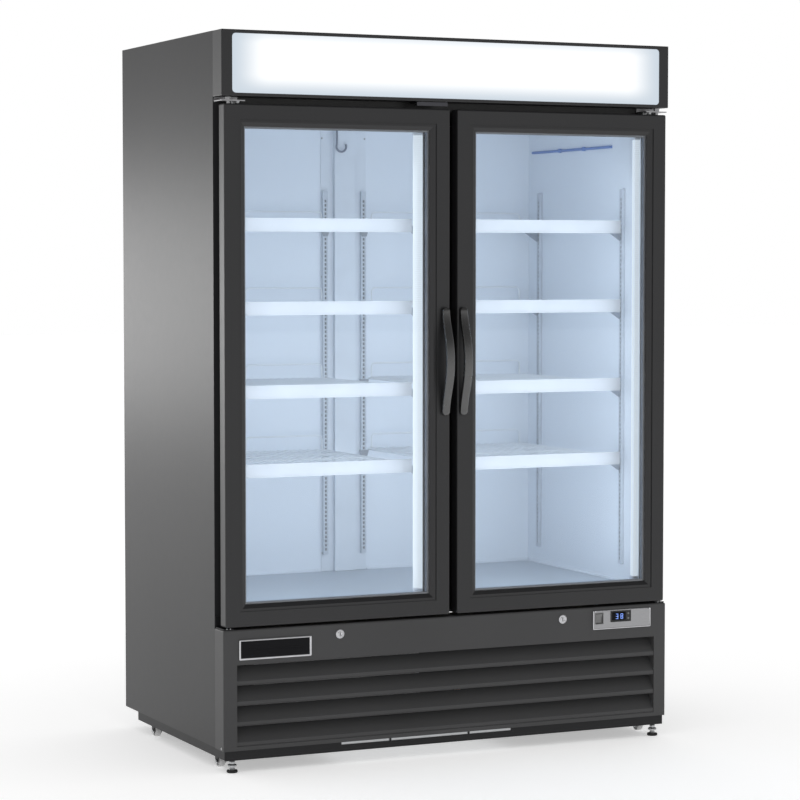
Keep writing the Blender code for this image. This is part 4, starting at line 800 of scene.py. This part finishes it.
def hinge_screws():
    """A hexagon bolt and a round one below each top hinge, and two screws at each lower one."""
    head = [(0, -6.5), (6.2, -6.5), (6.6, -6), (6.6, -2), (8.8, -1.6), (8.8, 0), (0, 0)]
    lower = GRILLE_HIGH.z + 0.0035
    for name, side in SIDES:
        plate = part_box(name + "_top_hinge")[1].z - 0.0127
        x = side * (HALF - 0.052)
        bolts = [
            turned(outline(head), (x, depth, plate), "z", sides) for depth, sides in ((0.020, 6), (0.048, 18))
        ]
        piece(name + "_hinge_bolts", "cabinet", ZINC, *bolts)
        screws = [screw_head(side * (HALF - inset), 0.006, lower, 0.0022) for inset in (0.012, 0.022)]
        piece(name + "_lower_hinge_screws", "cabinet", ZINC, *screws)


def centre_bracket():
    """The folded tab below the canopy that both doors close against, and its bolt."""
    under = (0, CANOPY_LOW.z)
    tab = outline([(12, -0.6), (60, -0.6), (60, -3), (18, -3), (16, -12), (12, -12)], under)
    bracket = prism(tab, "x", -0.107, -0.013)
    piece("canopy_centre_bracket", "cabinet", BRACKET_STEEL, bracket, smooth=False, bevel=0.0004)
    head = outline([(0, -7.5), (4, -7.5), (4.8, -6), (4.8, -3), (0, -3)])
    bolt = turned(head, (-0.024, 0.036, CANOPY_LOW.z), "z", 6)
    piece("canopy_bracket_bolt", "cabinet", ZINC, bolt, smooth=False, bevel=0.0004)


def name_plate():
    """A blank plate in a bright rim."""
    low = (0.044 - HALF, GRILLE_HIGH.z - 0.082)
    high = (0.255 - HALF, GRILLE_HIGH.z - 0.0265)
    rim = outline([(0, -0.3), (0, -3), (1.2, -3.8), (4, -3.8), (5.2, -2.6), (5.2, -0.3)])
    piece("name_plate_rim", "cabinet", CHROME, framed(low, high, 0.003, rim))
    face = outline([(5, -0.4), (5, -2.2), (6.5, -2.4), (27.5, -2.4), (27.5, -0.4)])
    piece("name_plate_face", "cabinet", DISPLAY, framed(low, high, 0.003, face))


def lock_details(name):
    """A raised ring round a lock, the rim of its key plug, and a black block in the plug's slot that is
    painted shade for the hollow keyway.
    """
    x, _, z = axis_of(name + "_lock_cylinder")
    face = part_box(name + "_lock")[0].y - FRONT
    ring = outline([(10.1, 0), (11.8, 0), (12.8, -1), (12.4, -2.2), (10.4, -2.6), (10.1, -1)], (0, -0.0003))
    piece(name + "_lock_ring", "cabinet", CHROME, hoop(ring, x, z))
    # Painted shade: a black block stands in for the shadowed keyway.
    slot = outline([(-1.3, -4.6), (1.3, -4.6), (1.3, 4.6), (-1.3, 4.6)], (x, z))
    slot = prism(slot, "y", face - 0.0002, face + 0.004)
    piece(name + "_key_slot", name + "_lock_cylinder", SEAL_BLACK, slot, smooth=False)
    rim = outline([(5.8, 0.4), (5.8, -0.6), (6.4, -1), (7.2, -0.6), (7.2, 0.4)], (0, face))
    piece(name + "_key_plug_rim", name + "_lock_cylinder", CHROME, hoop(rim, x, z))


side_screws()
rear_screws()
hinge_screws()
centre_bracket()
name_plate()
for door, _ in SIDES:
    lock_details(door)


# ---- controls -----------------------------------------------------------------------------
COVER_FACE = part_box("control_plate")[0].y - FRONT
SEGMENTS = {
    "top": ((-1, 1), (1, 1)),
    "middle": ((-1, 0), (1, 0)),
    "bottom": ((-1, -1), (1, -1)),
    "upper_left": ((-1, 0), (-1, 1)),
    "upper_right": ((1, 0), (1, 1)),
    "lower_left": ((-1, -1), (-1, 0)),
    "lower_right": ((1, -1), (1, 0)),
}


def cover_rim():
    """The bright rim of the control cover."""
    low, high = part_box("control_plate")
    rim = outline([(0, 2), (0, -0.4), (0.8, -1), (2.2, -1), (3, -0.2), (3, 1)], (0, COVER_FACE))
    ring = framed((low.x, low.z), (high.x, high.z), 0.0025, rim)
    piece("control_plate_rim", "cabinet", CHROME, ring)


def cover_hinge():
    """The rod along the control cover's top and its end pins."""
    low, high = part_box("control_plate")
    top = high.z - 0.0022
    ends = np.array([low.x + 0.006, high.x - 0.006])
    starts, stops = place(ends, COVER_FACE - 0.0012, top)
    pin = outline([(0, -4.2), (1.8, -4.2), (2.2, -3), (2.2, -0.4), (0, -0.4)])
    pins = [turned(pin, (x, COVER_FACE + 0.0006, top), "y", 14) for x in ends]
    piece("control_cover_hinge", "cabinet", CHROME, rods(starts, stops, 0.0010, 10), *pins)


def switch_surround():
    """A moulded frame round the lamp switch."""
    low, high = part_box("lamp_switch")
    margin, half_tall = 0.0036, 0.0167
    middle = axis_of("lamp_switch_rocker")[2]
    section = [(0, 1), (0, -1.2), (0.6, -1.8), (1.8, -1.8), (2.4, -1), (2.4, 1)]
    corners = (low.x - margin, middle - half_tall), (high.x + margin, middle + half_tall)
    ring = framed(*corners, 0.0015, outline(section, (0, COVER_FACE)))
    piece("switch_surround", "cabinet", SWITCH_GREY, ring)


def controller():
    """The controller's bezel, dark window, two lit digits and two keys."""
    low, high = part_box("temperature_controller")
    module = low.y - FRONT
    middle = (low.z + high.z) / 2
    grow = 0.001
    section = [(0, 2), (0, -0.6), (1, -1.4), (2.4, -1.4), (3.4, -0.3), (3.4, 1)]
    corners = (low.x - grow, low.z - grow), (high.x + grow, high.z + grow)
    bezel = framed(*corners, 0.002, outline(section, (0, module)))
    piece("controller_bezel", "cabinet", KEY_BLACK, bezel)
    section = [(0, 0.2), (0, -0.7), (0.4, -0.9), (11.6, -0.9), (11.6, 0.2)]
    corners = (low.x + 0.003, low.z + 0.004), (high.x - 0.016, high.z - 0.0035)
    window = framed(*corners, 0.001, outline(section, (0, module)))
    piece("controller_window", "cabinet", DISPLAY, window)

    three = ("top", "middle", "bottom", "upper_right", "lower_right")
    half_wide, half_tall, glow = 0.0031, 0.0068, module - 0.00125
    digits = []
    for centre, lit in ((low.x + 0.018, three), (low.x + 0.034, tuple(SEGMENTS))):
        ends = np.array([SEGMENTS[key] for key in lit], float)
        points = place(centre + ends[..., 0] * half_wide, glow, middle + ends[..., 1] * half_tall)
        digits.append(rods(points[:, 0], points[:, 1], 0.00055, 6))
    piece("display_digits", "cabinet", DIGITS, *digits)

    dome = outline([(0, -1.8), (2.2, -1.6), (3, -0.8), (3, 0.4), (0, 0.4)], (0, module))
    keys = [turned(dome, (high.x - 0.008, 0, middle + shift), "y", 18) for shift in (-0.007, 0.007)]
    piece("controller_keys", "cabinet", SWITCH_GREY, *keys)


def louvre_beads():
    """The rolled lower edge of each louvre blade."""
    first, pitch = GRILLE_LOW.z + 0.0123, 0.05525
    half, lows = HALF - 0.040, first + pitch * np.arange(4)
    edge = rods(place(-half, 0.0026, lows), place(half, 0.0026, lows), 0.0014, 10)
    piece("louvre_beads", "cabinet", FRONT_COAT, edge)


cover_rim()
switch_surround()
controller()
cover_hinge()
louvre_beads()


# ---- inside fittings ----------------------------------------------------------------------
BACK_WALL = INNER_BACK + 0.0003
SIDE_WALL = INNER_HALF + 0.0003


def skirting():
    """A coved strip where the floor meets the back and side walls."""
    cove = [(0, 0), (0, 10), (-1.5, 10), (-3, 4), (-10, 1.5), (-10, 0)]
    clear = 0.076
    shapes = []
    for start, end in ((-SIDE_WALL, -clear), (clear, SIDE_WALL)):
        shapes.append(prism(outline(cove, (BACK_WALL, FLOOR_TOP)), "x", start, end))
    for _, side in SIDES:
        run = outline(cove, (side * SIDE_WALL, FLOOR_TOP), (side, 1))
        shapes.append(prism(run, "y", 0.110, BACK_WALL - 0.010))
    piece("floor_skirting", "cabinet", INSIDE_WHITE, *shapes, smooth=False)


def probe_rail():
    """The blue rail high on the right wall and its two clips."""
    foot = (SIDE_WALL, HEADER - 0.0422)
    rail = outline([(0, 0), (0, 8), (-4, 8), (-7, 5.5), (-7, 2.5), (-4, 0)], foot)
    piece("wall_probe_rail", "cabinet", RAIL_BLUE, prism(rail, "y", 0.234, 0.728), smooth=False)
    block = outline([(0, -2), (0, 10), (-8, 10), (-8, -2)], foot)
    clips = [prism(block, "y", depth - 0.006, depth + 0.006) for depth in (0.40, 0.55)]
    piece("wall_rail_clips", "cabinet", RAIL_BLUE, *clips, smooth=False, bevel=0.0008)


def ceiling_hook():
    """A hook of round wire: a little over half a circle, then straight up to the ceiling."""
    bend, depth, low = 0.016, INNER_BACK - 0.024, HEADER - 0.0297
    t = np.linspace(-0.15, 1.15, 22) * math.pi
    curl = place(-bend + bend * np.cos(t), depth, low - bend * np.sin(t))
    stem = place(curl[-1, 0], depth, np.linspace(low + 0.006, CHANNEL_HIGH.z - 0.0002, 4))
    hook = bent_rod(np.concatenate([curl, stem]), 0.0032, (0, 1, 0), 10)
    piece("ceiling_hook", "cabinet", HOOK_STEEL, hook)


def duct_screws():
    """Four screws down each flange of the back wall's duct."""
    heads = []
    for drop in (0.0047, 0.4217, 0.8397, 1.2597):
        for _, side in SIDES:
            heads.append(screw_head(side * 0.0705, INNER_BACK - 0.0017, HEADER - drop, 0.0032))
    piece("duct_screws", "cabinet", ZINC, *heads)


def light_caps():
    """A cap that follows the lens's section on both ends of each upright light."""
    grow, lap, tall = 0.0008, 0.0005, 0.010
    caps = []
    for name, side in SIDES:
        for light in ("wall", "mullion"):
            low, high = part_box(f"{name}_{light}_light")
            front, back = low.y - FRONT, high.y - FRONT + grow
            inner, outer = sorted((abs(low.x), abs(high.x)))
            if light == "wall":
                section = [(outer, front - grow), (outer, back), (inner + 0.006, back)]
                section += [(inner - grow, front + 0.012), (inner - grow, front - grow)]
            else:
                section = [(inner, front + lap), (inner + 0.013, front + lap)]
                section += [(outer + grow, back - grow - 0.006), (outer + grow, back), (inner, back)]
            section = np.array(section) * (side, 1)
            caps.append(prism(section, "z", low.z - tall, low.z + lap))
            caps.append(prism(section, "z", high.z - lap, high.z + tall))
    piece("light_end_caps", "cabinet", INSIDE_WHITE, *caps, smooth=False)


skirting()
probe_rail()
ceiling_hook()
duct_screws()
light_caps()


# ---- fans and machinery -------------------------------------------------------------------
def rotor(radius, hub_radius, hub_length, blades):
    """A fan rotor about the z axis, centred on the origin. Blade point at share r of the radius
    and s across it: angle = start + sweep (s - 0.5) + lag r^2, height = pitch (0.5 - s)
    (1 - 0.35 r), so blades twist and lean back."""
    bore, rim = 0.0045, hub_length * 0.3
    half = hub_length / 2
    section = [
        (bore, -half),
        (hub_radius * 0.8, -half),
        (hub_radius, -rim),
        (hub_radius, half),
        (bore, half),
        (bore, -half),
    ]
    hub, hub_faces = turned(section, (0, 0, 0), "z", 28)
    shapes = [(hub - place(0, 0, 0), hub_faces)]
    r = np.linspace(0, 1, 12)[:, None]
    s = np.linspace(0, 1, 9)[None, :]
    reach = hub_radius * 0.85 + (radius * 0.985 - hub_radius * 0.85) * r
    thick = 0.0012 * (1 - 0.5 * r)
    height = 1.05 * hub_length * (1 - 0.35 * r) * (0.5 - s)
    for start in np.linspace(0, math.tau, blades, endpoint=False):
        angle = start + (0.75 - 0.12 * r) * (s - 0.5) + 0.35 * r**2
        x, y = reach * np.cos(angle), reach * np.sin(angle)
        upper = np.stack([x, y, height + thick], axis=-1)
        lower = np.stack([x, y, height - thick], axis=-1)
        shapes.append(capped(np.concatenate([upper, lower[:, ::-1]], axis=1)))
    return joined(shapes)


def fans():
    """The two rotors: aluminium in the machine space, white above the shelves."""
    for node, hub_radius, upright, finish in (
        ("condenser_fan", 0.028, False, ALUMINIUM),
        ("evaporator_fan", 0.024, True, WIRE_WHITE),
    ):
        low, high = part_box(node)
        points, faces = rotor((high.x - low.x) / 2, hub_radius, 0.020, 5)
        if not upright:
            points = points[:, [0, 2, 1]] * np.array([1, 1, -1])
        body = node + "_rotor"
        made = piece(node + "_blades", body, finish, (points + axis_of(body), faces))
        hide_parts(node)


def fan_guard():
    """A wire guard below the fan in the ceiling cover: four rings on six spokes."""
    centre = axis_of("evaporator_fan_rotor")
    centre[2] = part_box("evaporator_housing")[0].z - 0.003
    radius, wire = 0.106, 0.0013
    angle = np.linspace(0, math.tau, 48, endpoint=False)
    circle = np.stack([np.cos(angle), np.sin(angle), 0 * angle], axis=1)
    shapes = []
    for share in (0.3, 0.53, 0.76, 1.0):
        shapes.append(bent_rod(circle * radius * share + centre, wire, (0, 0, 1), 6, closed=True))
    out = circle[::8]
    shapes.append(rods(centre + out * 0.02, centre + out * radius, wire, 6))
    piece("evaporator_fan_guard", "cabinet", WIRE_WHITE, *shapes)


def machinery():
    """Copper lines from the compressor to the coil and its small terminal box."""
    x, y, _ = middle_of("compressor")
    depth, behind = y - FRONT, 0.300
    lines = []
    for height, shift in ((0.200, -0.030), (0.120, 0.030)):
        run = [x - 0.090, x - 0.150, x - 0.150, -0.045]
        corners = place(run, [depth + shift, depth + shift, behind, behind], height)
        lines.append(bent_rod(filleted(corners, 0.03, 6), 0.004, (0, 0, 1), 10))
    piece("refrigerant_lines", "cabinet", COPPER, *lines)
    terminal = outline([(92, 135), (125, 135), (125, 185), (92, 185)], (x, 0))
    box = prism(terminal, "y", depth - 0.03, depth + 0.03)
    piece("compressor_terminal_box", "cabinet", KEY_BLACK, box, smooth=False, bevel=0.003)


fans()
fan_guard()
machinery()


# ---- feet and casters ---------------------------------------------------------------------
def feet():
    """A rubber pad, a flanged hexagon nut above a cone, and a stem whose radius is a cosine of
    its height, all turned."""
    pad = outline([(0, 0), (13.5, 0), (15, 1.2), (15, 5.6), (14, 7.2), (10, 8), (0, 8)])
    collar = outline([(0, 16.5), (11.8, 16.5), (12.5, 17.2), (12.5, 20.5), (11.2, 22.2), (8, 24), (0, 24)])
    cone = outline([(0, 7.8), (9.6, 7.8), (9, 9.2), (6.4, 12), (6, 16.6), (0, 16.6)])
    nut = outline([(0, 23.8), (8.2, 23.8), (8.6, 24.5), (8.6, 30), (8, 30.8), (0, 30.8)])
    stem_low, wave_length = 0.0134, 0.003
    for name, _ in SIDES:
        body, node = name + "_foot", name + "_levelling_foot"
        x, y, _ = middle_of(node)
        base = (x, y - FRONT, 0)
        made = piece(body + "_pad", body, FOOT_RUBBER, turned(pad, base, "z", 32))
        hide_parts(node)
        parts = [turned(collar, base, "z", 32), turned(cone, base, "z", 32), turned(nut, base, "z", 6)]
        piece(body + "_nut", body, ZINC, *parts)
        level = np.linspace(stem_low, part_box(node)[1].z, 57)
        radius = 0.0046 + 0.0006 * np.cos(math.tau * level / wave_length)
        stem = [(0, level[0]), *zip(radius, level), (0, level[-1])]
        piece(body + "_stem", body, ZINC, turned(stem, base, "z", 16))


def wheels():
    """Small rollers: a rounded tread on a recessed hub with a bore."""
    for name, _ in SIDES:
        for where in ("front", "rear"):
            node = f"{name}_{where}_wheel"
            low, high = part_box(node)
            x, y, z = middle_of(node)
            r, w = (high.z - low.z) / 2, (high.x - low.x) / 2
            hub = [(0.0034, 0.9), (0.006, 0.9), (0.0065, 0.55)]
            tread = [(0.72, 0.55), (0.78, 0.95), (0.93, 1), (1, 0.72)]
            half = np.array(hub + [(share * r, across) for share, across in tread]) * (1, w)
            section = [*(half * (1, -1)), *half[::-1], half[0] * (1, -1)]
            shape = turned(section, (x, y - FRONT, z), "x", 36)
            made = piece(node + "_tread", f"{name}_{where}_caster_wheel", WHEEL_GREY, shape)
            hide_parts(node)


def caster_forks():
    """Bright pressed forks over the rollers: two cheeks each, with the axle's ends."""
    sheet, clear = 0.0012, 0.0037
    for name, _ in SIDES:
        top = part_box(name + "_base_rail")[0].z + 0.004
        shapes = []
        for where in ("front", "rear"):
            node = f"{name}_{where}_wheel"
            low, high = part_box(node)
            x, y, z = middle_of(node)
            gap = (high.x - low.x) / 2 + clear
            half = [(0.0112, top), (0.006, z - 0.008)]
            cheek = [(-half_wide, level) for half_wide, level in half] + half[::-1]
            cheek = np.array(cheek) + (y - FRONT, 0)
            for way in (-1, 1):
                outer = x + way * (gap + sheet)
                shapes.append(prism(cheek, "x", x + way * gap, outer))
                cap = outline([(0, 2.2), (3, 1.8), (4.2, 0.6), (4.2, 0), (0, 0)], turn=(1, way))
                shapes.append(turned(cap, (outer, y - FRONT, z), "x", 14))
        piece(name + "_caster_forks", "cabinet", ZINC, *shapes, smooth=False)


feet()
wheels()
caster_forks()


# ---- room, lights and camera --------------------------------------------------------------
def floor():
    """A pale matt floor just below the feet."""
    sockets = {"Roughness": 0.8, "Emission Strength": 0.42, "Emission Color": (1, 1, 1, 1)}
    finish = Finish("pale_floor", sockets)
    finish.set("Base Color", finish.mix(finish.noise(1.5, 3.0), grey(0.86), grey(0.90)))
    half_wide, level = 40, -0.0002
    edge = np.linspace(-half_wide, half_wide, 3)
    x, y = np.meshgrid(edge, edge, indexing="ij")
    vertices, faces = patch(np.stack([x, y, 0 * x + level], axis=-1))
    mesh = bpy.data.meshes.new("floor")
    mesh.from_pydata(vertices.tolist(), [], [face[::-1] for face in faces])
    made = bpy.data.objects.new("floor", mesh)
    made.data.materials.append(finish.material)
    bpy.context.scene.collection.objects.link(made)
    if made.data.polygons[0].normal.z < 0:
        made.data.flip_normals()


def soft_light(name, centre, target, size, power, colour=(1, 1, 1)):
    """A rectangular lamp at centre that shines towards target."""
    data = bpy.data.lights.new(name, "AREA")
    data.shape = "RECTANGLE"
    data.size, data.size_y = size
    data.energy = power
    data.color = colour
    lamp = bpy.data.objects.new(name, data)
    lamp.location = centre
    lamp.rotation_euler = (Vector(target) - Vector(centre)).to_track_quat("-Z", "Y").to_euler()
    bpy.context.scene.collection.objects.link(lamp)
    return lamp


def studio():
    """A white room that is dimmer overhead for what mirrors it, a soft panel that the side wall
    mirrors, and the glow of the inside lights."""
    world = bpy.data.worlds.new("studio")
    world.use_nodes = True
    room = Graph(world.node_tree)
    around, overhead, backdrop = (
        room.node("ShaderNodeBackground", {}, {"Color": (1, 1, 1, 1), "Strength": strength})
        for strength in (0.72, 0.16, 1.0)
    )
    direction = room.node("ShaderNodeTexCoord", {}, {}, "Generated")
    height = room.node("ShaderNodeSeparateXYZ", {}, {0: direction}, "Z")
    mirrored = room.node("ShaderNodeLightPath", {}, {}, "Is Glossy Ray")
    seen = room.node("ShaderNodeLightPath", {}, {}, "Is Camera Ray")
    dimmed = {0: mirrored * height.between(0.12, 0.50), 1: around, 2: overhead}
    light = room.node("ShaderNodeMixShader", {}, dimmed)
    shown = room.node("ShaderNodeMixShader", {}, {0: seen, 1: light, 2: backdrop})
    room.feed(room.tree.nodes["World Output"].inputs, {"Surface": shown})
    room.tree.nodes.remove(room.tree.nodes["Background"])
    bpy.context.scene.world = world
    bpy.context.scene.view_settings.view_transform = "Standard"
    soft_light("side_glow", (-3.6, 7.2, 1.15), (-0.7, 0.0, 1.1), (3.5, 1.3), 60)
    for name, side in SIDES:
        middle = side * (SHELF_FROM + SHELF_TO) / 2
        place_of, aim = (middle, FRONT + 0.085, 1.05), (middle, FRONT + 1.0, 1.05)
        glow = soft_light(name + "_inside_glow", place_of, aim, (0.5, 1.2), 2.75, (0.80, 0.90, 1.0))
        glow.visible_camera = False
        glow.visible_glossy = False
        glow.visible_transmission = False


def camera():
    """A long lens, a little above the middle of the cabinet and to its left."""
    data = bpy.data.cameras.new("camera")
    data.lens = 117.75
    data.sensor_width = 36
    data.clip_end = 200
    made = bpy.data.objects.new("camera", data)
    made.location = (-3.20957, -6.88659, 1.37997)
    made.rotation_euler = (math.pi / 2 - 0.05337, 0, -0.43763)
    bpy.context.scene.collection.objects.link(made)
    bpy.context.scene.camera = made


floor()
studio()
camera()
